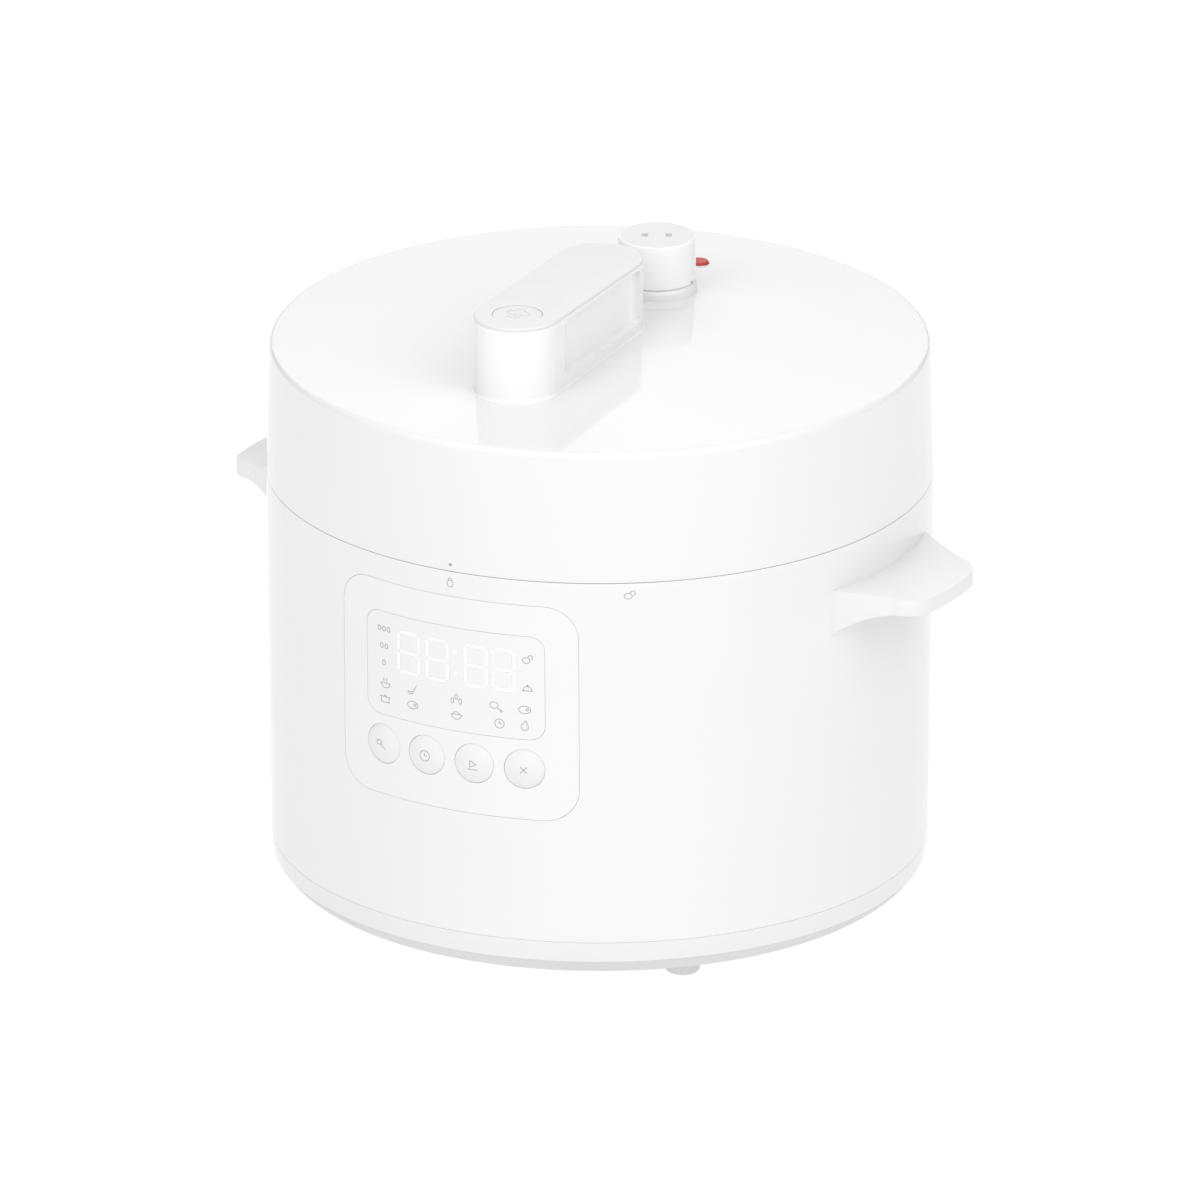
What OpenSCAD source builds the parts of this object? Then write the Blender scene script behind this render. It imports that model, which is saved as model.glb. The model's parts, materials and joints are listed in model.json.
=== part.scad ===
// Electric pressure cooker: a tapered round housing with a bayonet lid, a removable pot and a curved panel.
// Origin on the ground under the centre of the pot, +Z up, front towards -Y, right side handle towards +X.

/* [Housing] */
// Outer radius of the housing at its top edge
seam_r = 140; // [139.5:0.5:141]
// Outer radius of the housing at its bottom edge
base_r = 138.4; // [138:0.2:139]
// Height of the joint between the base cover and the housing
base_seam_z = 25.5; // [25:0.5:26.5]
// Height of the joint between the housing and the lid
seam_z = 186.5; // [186:0.5:187]
// Wall thickness of the housing
wall = 2.6; // [2.4:0.1:2.6]

/* [Base] */
// Height of the base cover's underside above the ground
bottom_z = 9.5; // [8.5:0.5:10]
// Radius at which the base chamfer starts
chamfer_r = 137.3; // [136.5:0.1:137.6]
// Height at which the base chamfer starts
chamfer_z = 16.4; // [16:0.2:18]
// Radius of the flat underside
bottom_r = 130.5; // [128:0.5:132]
// Radius of the circle that the feet stand on
foot_ring_r = 110; // [105:1:112]
// Radius of a foot where it meets the base cover
foot_r = 8; // [7:0.5:9]

/* [Lid] */
// Outer radius of the lid at its top edge
rim_r = 138.6; // [138:0.2:139]
// Height at which the lid's edge fillet starts
rim_z = 240.2; // [240:0.2:241]
// Radius of the lid's edge fillet
rim_fillet = 3; // [3:0.5:4]
// Height of the lid's centre
lid_top_z = 248.5; // [248:0.5:249]
// Wall thickness of the lid cover
lid_wall = 2.8; // [2.6:0.1:2.9]
// Number of bayonet teeth
tooth_count = 6; // [6:1:6]
// Angle that one bayonet tooth covers
tooth_angle = 26; // [22:1:26]

/* [Lid handle] */
// Width of the handle bar
handle_w = 36; // [35:0.5:37]
// Distance from the lid's centre to the centre of the release button
handle_reach = 76.6; // [75:0.2:77]
// Height of the handle's top face
handle_top_z = 279; // [278:0.5:280]
// Depth of the finger grip in each side of the handle
grip_depth = 4; // [3:0.5:4]
// Radius of the steam release button
release_r = 10.4; // [10:0.1:10.6]

/* [Valves] */
// Distance of the pressure limit valve behind the lid's centre
valve_y = 53; // [52.5:0.5:56]
// Radius of the valve knob at its top
knob_r = 16.2; // [15.8:0.1:16.4]
// Height of the knob's top face
knob_top_z = 271.6; // [270:0.2:272]
// Height of the knob's lower edge
knob_bottom_z = 252.6; // [252.6:0.1:253]
// Distance of the float valve behind the lid's centre
float_y = 93; // [92:1:94]
// Radius of the float valve's head
float_r = 4; // [3.8:0.1:5.8]

/* [Control panel] */
// Width of the panel across its curve
panel_w = 109.6; // [106:0.2:111]
// Height of the panel's lower edge
panel_z0 = 79.5; // [78:0.5:81]
// Height of the panel's upper edge
panel_z1 = 175.2; // [174:0.2:175.4]
// Corner radius of the panel
panel_corner = 14; // [12:0.5:15]
// Width of the display window
window_w = 83; // [80:0.5:84]
// Height of the window's lower edge
window_z0 = 115.2; // [114:0.2:116]
// Height of the window's upper edge
window_z1 = 161.5; // [160:0.5:162]
// Radius of a push button
key_r = 8.7; // [8:0.1:8.8]
// Height of the row of push buttons
key_z = 102.1; // [101:0.1:103]
// Angle between two neighbouring push buttons
key_pitch = 9.1; // [9:0.1:9.4]

/* [Side handles] */
// Distance from the pot's centre to the handle's tip
grip_tip = 169.4; // [168:0.1:170]
// Height of the handle's top face at its root
grip_root_z = 168.7; // [168:0.1:170]
// Height of the handle's top face at its tip
grip_tip_z = 163.6; // [163:0.1:165]
// Thickness of the handle at its tip
grip_tip_t = 6.4; // [6:0.2:7]
// Half width of the handle at its root
grip_root_w = 41.3; // [40:0.1:43]
// Angle by which the line through both handles is turned from the panel's cross axis
grip_turn = -4; // [-4.5:0.5:0]
// Angle by which each handle is set towards the back
grip_sweep = 1; // [0:0.5:2]

/* [Pot] */
// Inner radius of the removable pot
pot_r = 110; // [109.5:0.1:110.2]
// Height of the pot's underside above the ground
pot_floor_z = 58; // [58:0.5:60]
// Height of the pot's rim above the ground
pot_rim_z = 204.3; // [204:0.1:204.3]

/* [Hidden] */
$fn = 96;

plastic_white = "#f2f2f1";
panel_white = "#f5f5f5";
steel = "#b9bcbf";
aluminium = "#9fa3a6";
pot_grey = "#6c6f72";
board_green = "#2f6b45";
black_plastic = "#2b2c2e";
brass_yellow = "#b99a4f";
silicone_clear = "#d9dcdc";
float_red = "#c4332b";

big = 400;
eps = 0.01;

// The housing is a cone, so its outer radius depends on the height.
function wall_r(z) = base_r + (seam_r - base_r) * (z - base_seam_z) / (seam_z - base_seam_z);

// The lid's top is a shallow dome that meets the edge fillet.
dome_edge_r = rim_r - rim_fillet;
dome_rise = lid_top_z - rim_z - rim_fillet;
dome_r = (dome_edge_r * dome_edge_r + dome_rise * dome_rise) / (2 * dome_rise);
function dome_z(r) = lid_top_z - dome_r + sqrt(dome_r * dome_r - r * r);

seam_gap = 0.9;
base_gap = 0.4;
housing_top_z = seam_z - seam_gap / 2;
housing_bottom_z = base_seam_z + base_gap / 2;
skirt_z = seam_z + seam_gap / 2;

// Bayonet: the flange's teeth point out and the metal lid's teeth point in just below them. They end short of
// each other, so that the lid can also lift straight off without its turn.
flange_top_z = 201.5;
flange_t = 3;
flange_r = 117.8;
flange_tooth_r = 121.4;
lid_tooth_r = 122;
lid_tooth_gap = 0.6;
lid_tooth_t = 3.9;
metal_lid_z = 213.5;
metal_lid_t = 1.5;
metal_skirt_r = 128;

outer_pot_r = 115.7;
outer_pot_inner_r = 114.5;
outer_pot_floor_z = 46;
sheet_t = 1.2;
pot_wall = 1.6;
post_ring_r = 100;
post_r = 6;
post_angles = [30, 150, 270];
foot_angles = [45, 135, 225, 315];
foot_taper = 0.8;
floor_t = 2.5;
grip_screw_v = 22;
grip_screw_z = 160;
grip_under_z = 148;

board_x = 38;
board_ys = [-82, -40];
base_board_z = 20;

lever_y = -10;
lever_z = 235;
lever_t = 3;
lever_pin_r = 1.5;
lifter_z = lever_z + lever_t + 0.4;
cover_hole_r = 11;
boss_ring_r = 90;
boss_angles = [45, 135, 225, 315];
screw_r = 1.9;

handle_r = handle_w / 2;
handle_wall = 2.5;
handle_core_r = handle_r - grip_depth - handle_wall;
handle_flare = 1.2;
cap_t = 1.3;
cap_gap = 0.1;
handle_body_z = handle_top_z - cap_t - cap_gap;
grip_z0 = 252.5;
grip_z1 = 275.9;

// The handle and the valve collar stand in shallow flat seats cut into the lid's dome.
seat_gap = 0.1;
collar_r = 17;
handle_seat_z = dome_z(handle_reach + handle_r + handle_flare) - seat_gap;
handle_foot_z = handle_seat_z + seat_gap / 2;
handle_pad_z = handle_seat_z - lid_wall - 0.5;
collar_seat_z = dome_z(valve_y + collar_r) - 0.4;

key_angles = [-1.5 * key_pitch, -0.5 * key_pitch, 0.5 * key_pitch, 1.5 * key_pitch];
key_lip = 1.5;
panel_t = 4.2;
board_y = -120;
board_t = 1.6;

cup_w = 60;
cup_z0 = 120.5;
cup_z1 = 169.8;
cup_gap = 0.3;
drain_y = 127;

inlet_w = 32;
inlet_z0 = 28;
inlet_z1 = 54;
inlet_face_y = 139.6;
inlet_gap = 0.3;

// ---- shared shapes ----

// A round plate or tube between two heights.
module tube(z0, z1, r_out, r_in = 0) {
    translate([0, 0, z0])
        difference() {
            cylinder(h = z1 - z0, r = r_out);
            if (r_in > 0) translate([0, 0, -1]) cylinder(h = z1 - z0 + 2, r = r_in);
        }
}

// Children stood at x, y.
module at(x, y) {
    translate([x, y, 0]) children();
}

// A box between two corners.
module box(low, high) {
    translate(low) cube(high - low);
}

// A rectangle between two corners.
module square_from(low, high) {
    translate(low) square(high - low);
}

// A rectangle with round corners, from its lower left corner.
module rounded_rect(w, h, r) {
    translate([r, 0]) square([w - 2 * r, h]);
    translate([0, r]) square([w, h - 2 * r]);
    for (x = [r, w - r], y = [r, h - r]) translate([x, y]) circle(r = r);
}

// The part of a front-facing rounded rectangle that reaches from the axis out through the wall.
module front_prism(w, z0, z1, r) {
    rotate([90, 0, 0])
        linear_extrude(height = big / 2)
            translate([-w / 2, z0]) rounded_rect(w, z1 - z0, r);
}

// A slice of the housing's wall between two insets from the outer surface.
module wall_slice(inset_out, inset_in, z0, z1) {
    rotate_extrude($fn = 180)
        polygon([
            [wall_r(z0) - inset_in, z0],
            [wall_r(z0) - inset_out, z0],
            [wall_r(z1) - inset_out, z1],
            [wall_r(z1) - inset_in, z1]
        ]);
}

// Children placed on a push button's own axis, with +Z pointing out of the panel.
module on_key_axis(angle) {
    rotate([0, 0, angle]) translate([0, -wall_r(key_z), key_z]) rotate([90, 0, 0]) children();
}

// A solid of the profile (distance from the centre line, height) carried round a stadium from y0 to y1.
module stadium_sweep(y0, y1) {
    for (y = [y0, y1]) translate([0, y, 0]) rotate_extrude() children();
    for (s = [0, 1])
        mirror([s, 0, 0])
            translate([0, y1, 0]) rotate([90, 0, 0]) linear_extrude(height = y1 - y0) children();
}

// The lid's outer shape, drawn as radius and height, with its surface moved in by an inset.
// The dome is made of narrow rings, each a slice of a cone.
module lid_profile(inset, z0) {
    rings = 12;
    dome = [for (i = [rings:-1:0]) let (r = dome_edge_r * i / rings) [r, dome_z(r) - inset]];
    polygon(concat([[0, z0], [seam_r - inset, z0], [rim_r - inset, rim_z]], dome));
    translate([dome_edge_r, rim_z]) circle(r = rim_fillet - inset);
}

// A machine screw along +Z from its head's lower face, with a round head.
module screw(z_head, z_tip, head_r = 3.6, head_t = 2) {
    tube(z_head, z_head + head_t, head_r);
    tube(z_head + head_t - eps, z_tip, screw_r);
}

// One ring of bayonet teeth between two radii.
module teeth(r_in, r_out, z0, z1) {
    for (i = [0:tooth_count - 1])
        rotate([0, 0, i * 360 / tooth_count - tooth_angle / 2])
            rotate_extrude(angle = tooth_angle) translate([r_in, z0]) square([r_out - r_in, z1 - z0]);
}

function unit(v) = v / norm(v);

// The direction of a path at one of its points.
function heading(path, i) = unit(path[min(i + 1, len(path) - 1)] - path[max(i - 1, 0)]);

// A round wire swept along a path. The reference direction is one that the path never runs along.
module wire(path, r, reference) {
    sides = 8;
    last = len(path) - 1;
    rings = [
        for (i = [0:last])
            let (ahead = heading(path, i), across = unit(cross(ahead, reference)), above = cross(across, ahead))
                for (j = [0:sides - 1])
                    path[i] + r * (cos(j * 360 / sides) * across + sin(j * 360 / sides) * above)
    ];
    walls = [
        for (i = [0:last - 1], j = [0:sides - 1])
            let (a = i * sides + j, b = i * sides + (j + 1) % sides)
                [a, b, b + sides, a + sides]
    ];
    ends = [[for (j = [sides - 1:-1:0]) j], [for (j = [0:sides - 1]) last * sides + j]];
    polyhedron(points = rings, faces = concat(walls, ends), convexity = 8);
}

// A compression spring of round wire between two heights.
module coil(z0, z1, coil_r, wire_r, turns) {
    steps = turns * 18;
    low = z0 + wire_r;
    rise = z1 - z0 - 2 * wire_r;
    helix = [
        for (i = [0:steps])
            let (angle = i * 360 * turns / steps)
                [coil_r * cos(angle), coil_r * sin(angle), low + rise * i / steps]
    ];
    wire(helix, wire_r, [0, 0, 1]);
}

// ---- housing and base ----

module outer_housing() {
    color(plastic_white)
        difference() {
            wall_slice(0, wall, housing_bottom_z, housing_top_z);
            front_prism(panel_w, panel_z0, panel_z1, panel_corner);
            cup_opening(cup_gap, big / 2);
            box(
                [-inlet_w / 2 - inlet_gap, 100, inlet_z0 - inlet_gap],
                [inlet_w / 2 + inlet_gap, big / 2, inlet_z1 + inlet_gap]
            );
            for (a = grip_angles(), s = [-1, 1]) grip_screw_line(a, s) tube(-12, 12, screw_r + 0.2);
        }
}

module base_cover() {
    floor_z = bottom_z + floor_t - 1;
    color(plastic_white)
        difference() {
            union() {
                rotate_extrude($fn = 180) base_profile();
                for (a = post_angles)
                    rotate([0, 0, a]) at(post_ring_r, 0) tube(floor_z, outer_pot_floor_z - 0.2, post_r);
                at_board_screws() tube(floor_z, base_board_z - 0.2, 3.5);
            }
            for (a = post_angles)
                rotate([0, 0, a]) at(post_ring_r, 0) {
                    tube(0, floor_z + 2, post_r - 1);
                    tube(0, 60, screw_r + 0.1);
                }
            at_board_screws() tube(floor_z + 2, 30, 1.3);
            for (a = foot_angles) rotate([0, 0, a]) at(foot_ring_r, 0) tube(0, 20, 3.1);
            air_slots();
            box([-20, 120, housing_bottom_z], [20, 150, 40]);
        }
}

// Two rows of slots that let air in through the underside.
module air_slots() {
    pitch = 9;
    slot_w = 3;
    slot_l = 28;
    row_y = 35;
    for (i = [-3:3], s = [-1, 1])
        box(
            [i * pitch - slot_w / 2, s * row_y - slot_l / 2, 0],
            [i * pitch + slot_w / 2, s * row_y + slot_l / 2, 20]
        );
}

// Children stood at each screw of the power board.
module at_board_screws() {
    for (x = [-board_x, board_x], y = board_ys) at(x, y) children();
}

// Radius and height outline of the base cover: a floor, a chamfered wall and a lip inside the housing.
module base_profile() {
    polygon([
        [0, bottom_z],
        [bottom_r, bottom_z],
        [bottom_r + 3.6, bottom_z + 2.9],
        [chamfer_r, chamfer_z],
        [base_r, base_seam_z - base_gap / 2],
        [base_r - wall - 0.3, base_seam_z - base_gap / 2],
        [base_r - wall - 0.3, base_seam_z + 4],
        [base_r - wall - 2.3, base_seam_z + 4],
        [base_r - wall - 2.3, chamfer_z],
        [bottom_r - 1, bottom_z + floor_t],
        [0, bottom_z + floor_t]
    ]);
}

module feet() {
    color(plastic_white)
        for (a = foot_angles)
            rotate([0, 0, a]) at(foot_ring_r, 0) {
                rotate_extrude()
                    polygon([
                        [0, 0],
                        [foot_r - 2 * foot_taper, 0],
                        [foot_r - foot_taper, foot_taper],
                        [foot_r, bottom_z - 0.05],
                        [0, bottom_z - 0.05]
                    ]);
                tube(bottom_z - 1, bottom_z + 3.5, 3);
            }
}

module base_screws() {
    color(steel)
        for (a = post_angles)
            rotate([0, 0, a]) at(post_ring_r, 0) {
                screw(10.6, 51.5, 4.4, 2.3);
                tube(outer_pot_floor_z + sheet_t + 0.1, 50.4, 4.4, 0, $fn = 6);
            }
}

// ---- side handles ----

function grip_angles() = [grip_turn + grip_sweep, 180 + grip_turn - grip_sweep];

// Children placed at a side handle's own direction, with +X pointing out.
module grip_frame(angle) {
    rotate([0, 0, angle]) children();
}

// Children on the axis of a screw on one side of a side handle, with +Z pointing out.
module grip_screw_line(angle, side) {
    grip_frame(angle)
        translate([seam_r - wall, side * grip_screw_v, grip_screw_z]) rotate([0, 90, 0]) children();
}

// The handle seen from above: a bowed tip, round corners and flanks that curve in towards the root.
module grip_plan() {
    bow_r = 124;
    corner_r = 12.3;
    corner_v = 16;
    tip_centre = grip_tip - bow_r;
    corner_u = tip_centre + sqrt(pow(bow_r - corner_r, 2) - corner_v * corner_v);
    root_u = 133;
    flank_r = 420;
    difference() {
        union() {
            polygon([
                [root_u - 6, -grip_root_w - 3],
                [corner_u, -corner_v - corner_r],
                [corner_u, corner_v + corner_r],
                [root_u - 6, grip_root_w + 3]
            ]);
            intersection() {
                translate([tip_centre, 0]) circle(r = bow_r);
                translate([corner_u - 1, -corner_v]) square([40, 2 * corner_v]);
            }
            for (s = [-1, 1]) translate([corner_u, s * corner_v]) circle(r = corner_r);
        }
        for (s = [-1, 1]) {
            run = [corner_u - root_u, corner_v + corner_r - grip_root_w];
            half = norm(run) / 2;
            middle = [(corner_u + root_u) / 2, (corner_v + corner_r + grip_root_w) / 2];
            normal = [-run[1], run[0]] / norm(run);
            centre = middle + normal * sqrt(flank_r * flank_r - half * half);
            translate([centre[0], s * centre[1]]) circle(r = flank_r, $fn = 180);
        }
    }
}

// The handle seen from the side: a sloping top and an arched underside.
module grip_side() {
    arch_u = 160;
    arch_r = 40.7;
    under_z = grip_tip_z - grip_tip_t;
    slope = (grip_root_z - grip_tip_z) / (grip_tip - 131);
    arch_top = under_z + 0.6;
    difference() {
        polygon([
            [120, grip_root_z + slope * 11],
            [grip_tip + 10, grip_tip_z - slope * 10],
            [grip_tip + 10, under_z],
            [arch_u, arch_top],
            [arch_u - 10, grip_under_z],
            [120, grip_under_z]
        ]);
        translate([arch_u, arch_top - arch_r]) circle(r = arch_r, $fn = 180);
    }
}

module side_handle(angle) {
    color(plastic_white)
        difference() {
            grip_frame(angle)
                intersection() {
                    translate([0, 0, 140]) linear_extrude(height = 40) grip_plan();
                    translate([0, 100, 0]) rotate([90, 0, 0]) linear_extrude(height = 200) grip_side();
                }
            wall_slice(-0.15, wall_r(140), 140, 180);
            for (s = [-1, 1]) grip_screw_line(angle, s) tube(-12, 12, screw_r);
        }
}

module side_handle_screws() {
    color(steel)
        for (a = grip_angles(), s = [-1, 1])
            grip_screw_line(a, s) {
                tube(-5.2, -3.2, 3.6);
                tube(-3.3, 11.5, screw_r - 0.05);
            }
}

// ---- pot, collar and heater ----

module upper_collar() {
    color(plastic_white)
        difference() {
            union() {
                tube(179, 190, 136.2, 134.2, $fn = 180);
                tube(179, 181, 137.1, 116.3, $fn = 180);
                tube(179, 192.5, 118, 116.3, $fn = 180);
                tube(179, 185.5, 137.1, 134.2, $fn = 180);
                at(0, drain_y) tube(172, 180, 4);
            }
            at(0, drain_y) tube(160, 190, 2.8);
        }
}

module outer_pot() {
    color(steel)
        difference() {
            union() {
                tube(outer_pot_floor_z, flange_top_z, outer_pot_r, outer_pot_inner_r, $fn = 180);
                tube(outer_pot_floor_z, outer_pot_floor_z + sheet_t, outer_pot_r, 72, $fn = 180);
                tube(flange_top_z - flange_t, flange_top_z, flange_r, outer_pot_inner_r, $fn = 180);
                teeth(flange_r - 1, flange_tooth_r, flange_top_z - flange_t, flange_top_z);
            }
            for (a = post_angles)
                rotate([0, 0, a]) at(post_ring_r, 0) tube(outer_pot_floor_z - 2, 50, screw_r + 0.3);
        }
}

module inner_pot() {
    corner = 14;
    color(pot_grey)
        rotate_extrude($fn = 180)
            difference() {
                union() {
                    pot_outline(pot_r + pot_wall, pot_floor_z, corner + pot_wall);
                    translate([pot_r, pot_rim_z - 1.6]) square([6, 1.6]);
                    translate([pot_r + 6, pot_rim_z - 0.8]) circle(r = 0.8, $fn = 24);
                }
                pot_outline(pot_r, pot_floor_z + 2.6, corner);
                translate([-1, pot_rim_z]) square([pot_r + 20, 10]);
            }
}

// Half of a pot's outline with a round bottom corner, open above the rim.
module pot_outline(r, z0, corner) {
    translate([0, z0]) square([r - corner, pot_rim_z + 1 - z0]);
    translate([0, z0 + corner]) square([r, pot_rim_z + 1 - z0 - corner]);
    translate([r - corner, z0 + corner]) circle(r = corner);
}

module heating_plate() {
    element_r = 62;
    color(aluminium)
        difference() {
            union() {
                tube(50, pot_floor_z - 0.3, 92, 0, $fn = 180);
                translate([0, 0, 50])
                    rotate_extrude($fn = 120) translate([element_r, 0]) circle(r = 5.5, $fn = 48);
                for (a = [75, 105]) rotate([0, 0, a]) at(element_r, 0) tube(37, 47, 3);
                for (a = [90, 210, 330])
                    rotate([0, 0, a]) at(82, 0) tube(outer_pot_floor_z + sheet_t + 0.1, 51, 5);
            }
            tube(30, 70, 15);
        }
}

module sensor_bracket() {
    color(steel)
        difference() {
            union() {
                tube(37, 38.2, 21);
                for (s = [-1, 1]) box([s * 19.4 - 0.6, -5, 37], [s * 19.4 + 0.6, 5, 49.9]);
            }
            tube(30, 45, 5.2);
        }
}

module temp_sensor() {
    color(aluminium) {
        tube(53.8, pot_floor_z - 0.3, 14.2);
        tube(33, 54, 5);
    }
}

module sensor_spring() {
    color(steel) coil(38.3, 53.7, 8, 0.8, 4);
}

module pressure_switch() {
    color(black_plastic) {
        at(-84, 0) tube(34, 45.6, 2);
        box([-94, -6, 22], [-70, 6, 35]);
        box([-92, -4, 12.2], [-86, 4, 23]);
    }
}

module thermal_fuse() {
    color("white")
        translate([-13, -38, 46.8]) rotate([0, 90, 0]) cylinder(h = 26, r = 2.6);
}

// ---- control panel ----

module control_panel() {
    color(panel_white)
        difference() {
            union() {
                intersection() {
                    wall_slice(0, panel_t, panel_z0 - 5, panel_z1 + 3);
                    front_prism(panel_w - 0.5, panel_z0 + 0.25, panel_z1 - 0.25, panel_corner - 0.25);
                }
                intersection() {
                    wall_slice(wall + 0.15, panel_t, panel_z0 - 5, panel_z1 + 3);
                    front_prism(panel_w + 6, panel_z0 - 3, panel_z1 + 3, panel_corner + 3);
                }
                for (p = post_places()) panel_post(p, 3.2);
            }
            intersection() {
                wall_slice(-1, 2, window_z0 - 5, window_z1 + 5);
                front_prism(window_w, window_z0, window_z1, 6.5);
            }
            front_prism(window_w - 5, window_z0 + 2.5, window_z1 - 2.5, 4);
            for (a = key_angles) on_key_axis(a) tube(-10, 10, key_r + 0.25);
            for (p = post_places()) panel_post(p, 1.35);
        }
}

// The posts behind the panel that the control board is screwed to, as x and z.
function post_places() = [for (x = [-42, 42], z = [86, 168]) [x, z]];

module panel_post(place, r) {
    depth = sqrt(pow(wall_r(place[1]) - panel_t / 2, 2) - place[0] * place[0]);
    translate([place[0], board_y - board_t - 0.1, place[1]])
        rotate([90, 0, 0]) cylinder(h = depth + board_y - board_t, r = r);
}

module display_window() {
    color("white")
        intersection() {
            wall_slice(0, 1.9, window_z0, window_z1);
            front_prism(window_w - 0.3, window_z0 + 0.15, window_z1 - 0.15, 6.35);
        }
}

// One push button: a slightly domed cap on a round plunger with a retaining lip.
module panel_button(angle) {
    dome = 0.9;
    cap_r = (key_r * key_r + dome * dome) / (2 * dome);
    color(panel_white)
        on_key_axis(angle) {
            intersection() {
                tube(-6.3, 2, key_r);
                translate([0, 0, dome - 0.1 - cap_r]) sphere(r = cap_r, $fn = 240);
            }
            tube(-6.3, -5, key_r + key_lip);
        }
}

module button_taste() { panel_button(key_angles[0]); }
module button_timer() { panel_button(key_angles[1]); }
module button_start() { panel_button(key_angles[2]); }
module button_cancel() { panel_button(key_angles[3]); }

module button_mat() {
    color(silicone_clear)
        intersection() {
            wall_slice(7.7, 8.7, key_z - 11, key_z + 11);
            front_prism(92, key_z - 10.5, key_z + 10.5, 3);
        }
}

module control_board() {
    color(board_green)
        difference() {
            box([-47, board_y - board_t, 82], [47, board_y, 172]);
            for (p = post_places())
                translate([p[0], board_y + 5, p[1]]) rotate([90, 0, 0]) cylinder(h = 20, r = 1.6);
        }
}

module digit_module() {
    color("white") box([-36, board_y - 9, 118], [36, board_y - board_t - 0.1, 159]);
}

module tact_switches() {
    body_t = 3.4;
    color(black_plastic)
        for (a = key_angles) {
            x = wall_r(key_z) * sin(a);
            tip_y = sqrt(pow(wall_r(key_z) - 9.2, 2) - pow(abs(x) + 1.6, 2));
            front = board_y - board_t - 0.1;
            box([x - 3, front - body_t, key_z - 3], [x + 3, front, key_z + 3]);
            translate([x, front - body_t + eps, key_z])
                rotate([90, 0, 0]) cylinder(h = tip_y + front - body_t, r = 1.6);
        }
}

module panel_screws() {
    color(steel)
        for (p = post_places())
            translate([p[0], board_y + 0.1, p[1]]) rotate([90, 0, 0]) {
                translate([0, 0, -1.8]) cylinder(h = 1.8, r = 2.4);
                cylinder(h = 6, r = 1.25);
            }
}

// ---- electrics in the base ----

module power_board() {
    color(board_green)
        difference() {
            box(
                [-board_x - 7, board_ys[0] - 6, base_board_z],
                [board_x + 7, board_ys[1] + 6, base_board_z + board_t]
            );
            at_board_screws() tube(15, 25, 1.6);
        }
}

module power_components() {
    board_top = base_board_z + board_t + 0.1;
    color(black_plastic) {
        box([-28, -78, board_top], [-8, -62, board_top + 15]);
        box([4, -80, board_top], [26, -60, board_top + 16]);
        at(-16, -50) tube(board_top, board_top + 14, 6);
        at(10, -48) tube(board_top, board_top + 11, 5);
        box([20, -54, board_top], [32, -42, board_top + 8]);
    }
}

module board_screws() {
    color(steel)
        at_board_screws() {
            tube(base_board_z + board_t + 0.1, base_board_z + board_t + 1.8, 2.4);
            tube(14, base_board_z + board_t + 0.2, 1.25);
        }
}

module power_inlet() {
    back_y = 120;
    rim = 4.5;
    lip = 2;
    color(black_plastic)
        difference() {
            union() {
                box([-inlet_w / 2, back_y, inlet_z0], [inlet_w / 2, inlet_face_y, inlet_z1]);
                box([-inlet_w / 2 - 2.5, back_y, inlet_z0 - lip], [inlet_w / 2 + 2.5, 134.2, inlet_z1 + lip]);
            }
            box(
                [-inlet_w / 2 + rim, back_y + 4, inlet_z0 + rim],
                [inlet_w / 2 - rim, inlet_face_y + 5, inlet_z1 - rim]
            );
            for (p = pin_places()) pin_line(p) tube(-10, 2, 1.75);
        }
}

// The three pins of the inlet as x and z.
function pin_places() = [[-6.5, 38.5], [0, 44], [6.5, 38.5]];

// Children on a pin's axis, with +Z pointing out of the inlet.
module pin_line(place) {
    translate([place[0], 124, place[1]]) rotate([-90, 0, 0]) children();
}

module inlet_pins() {
    color(brass_yellow)
        for (p = pin_places()) pin_line(p) tube(-9, 10, 1.7);
}

module wiring_loom() {
    live = [[-6.5, 114.6, 38.5], [-6.5, 108, 38.5], [-30, 100, 30], [-52, 40, 30], [-52, -30, 30],
        [-30, -45, 30], [-30, -45, 22]];
    neutral = [[6.5, 114.6, 38.5], [6.5, 108, 38.5], [30, 100, 30], [58, 40, 30], [58, -30, 30],
        [38, -60, 30], [38, -60, 22]];
    heater_a = [[16, 60, 36.8], [16, 60, 26], [40, 20, 26], [40, -45, 26], [40, -45, 22]];
    heater_b = [[-16, 60, 36.8], [-16, 60, 26], [-40, 20, 26], [-40, -60, 26], [-40, -60, 22]];
    color("white") {
        for (path = [live, neutral]) wire(path, 1.6, [1, 0.4, 0.3]);
        for (path = [heater_a, heater_b]) wire(path, 1.3, [1, 0.4, 0.3]);
    }
}

module ribbon_cable() {
    color("lightgrey")
        translate([10, 0, 0])
            rotate([90, 0, 90])
                linear_extrude(height = 16)
                    polygon([
                        [-119.8, 96],
                        [-119.8, 60],
                        [-124, 54],
                        [-124, 26],
                        [-86, 24],
                        [-86, 22],
                        [-84.8, 22],
                        [-84.8, 25.2],
                        [-122.8, 27.2],
                        [-122.8, 53.4],
                        [-118.6, 59.4],
                        [-118.6, 96]
                    ]);
}

// ---- condensate cup at the back ----

// The opening in the housing for the cup, grown by a gap.
module cup_opening(gap, reach) {
    box([-cup_w / 2 - gap, 110, cup_z0 - gap], [cup_w / 2 + gap, 110 + reach, cup_z1 + gap]);
}

module cup_pocket() {
    color(plastic_white)
        difference() {
            box([-32, 118.8, 118.6], [32, 132.8, 171.6]);
            box([-30.6, 120, 120], [30.6, 140, 170.2]);
            at(0, drain_y) tube(165, 180, 4.2);
        }
}

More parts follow.
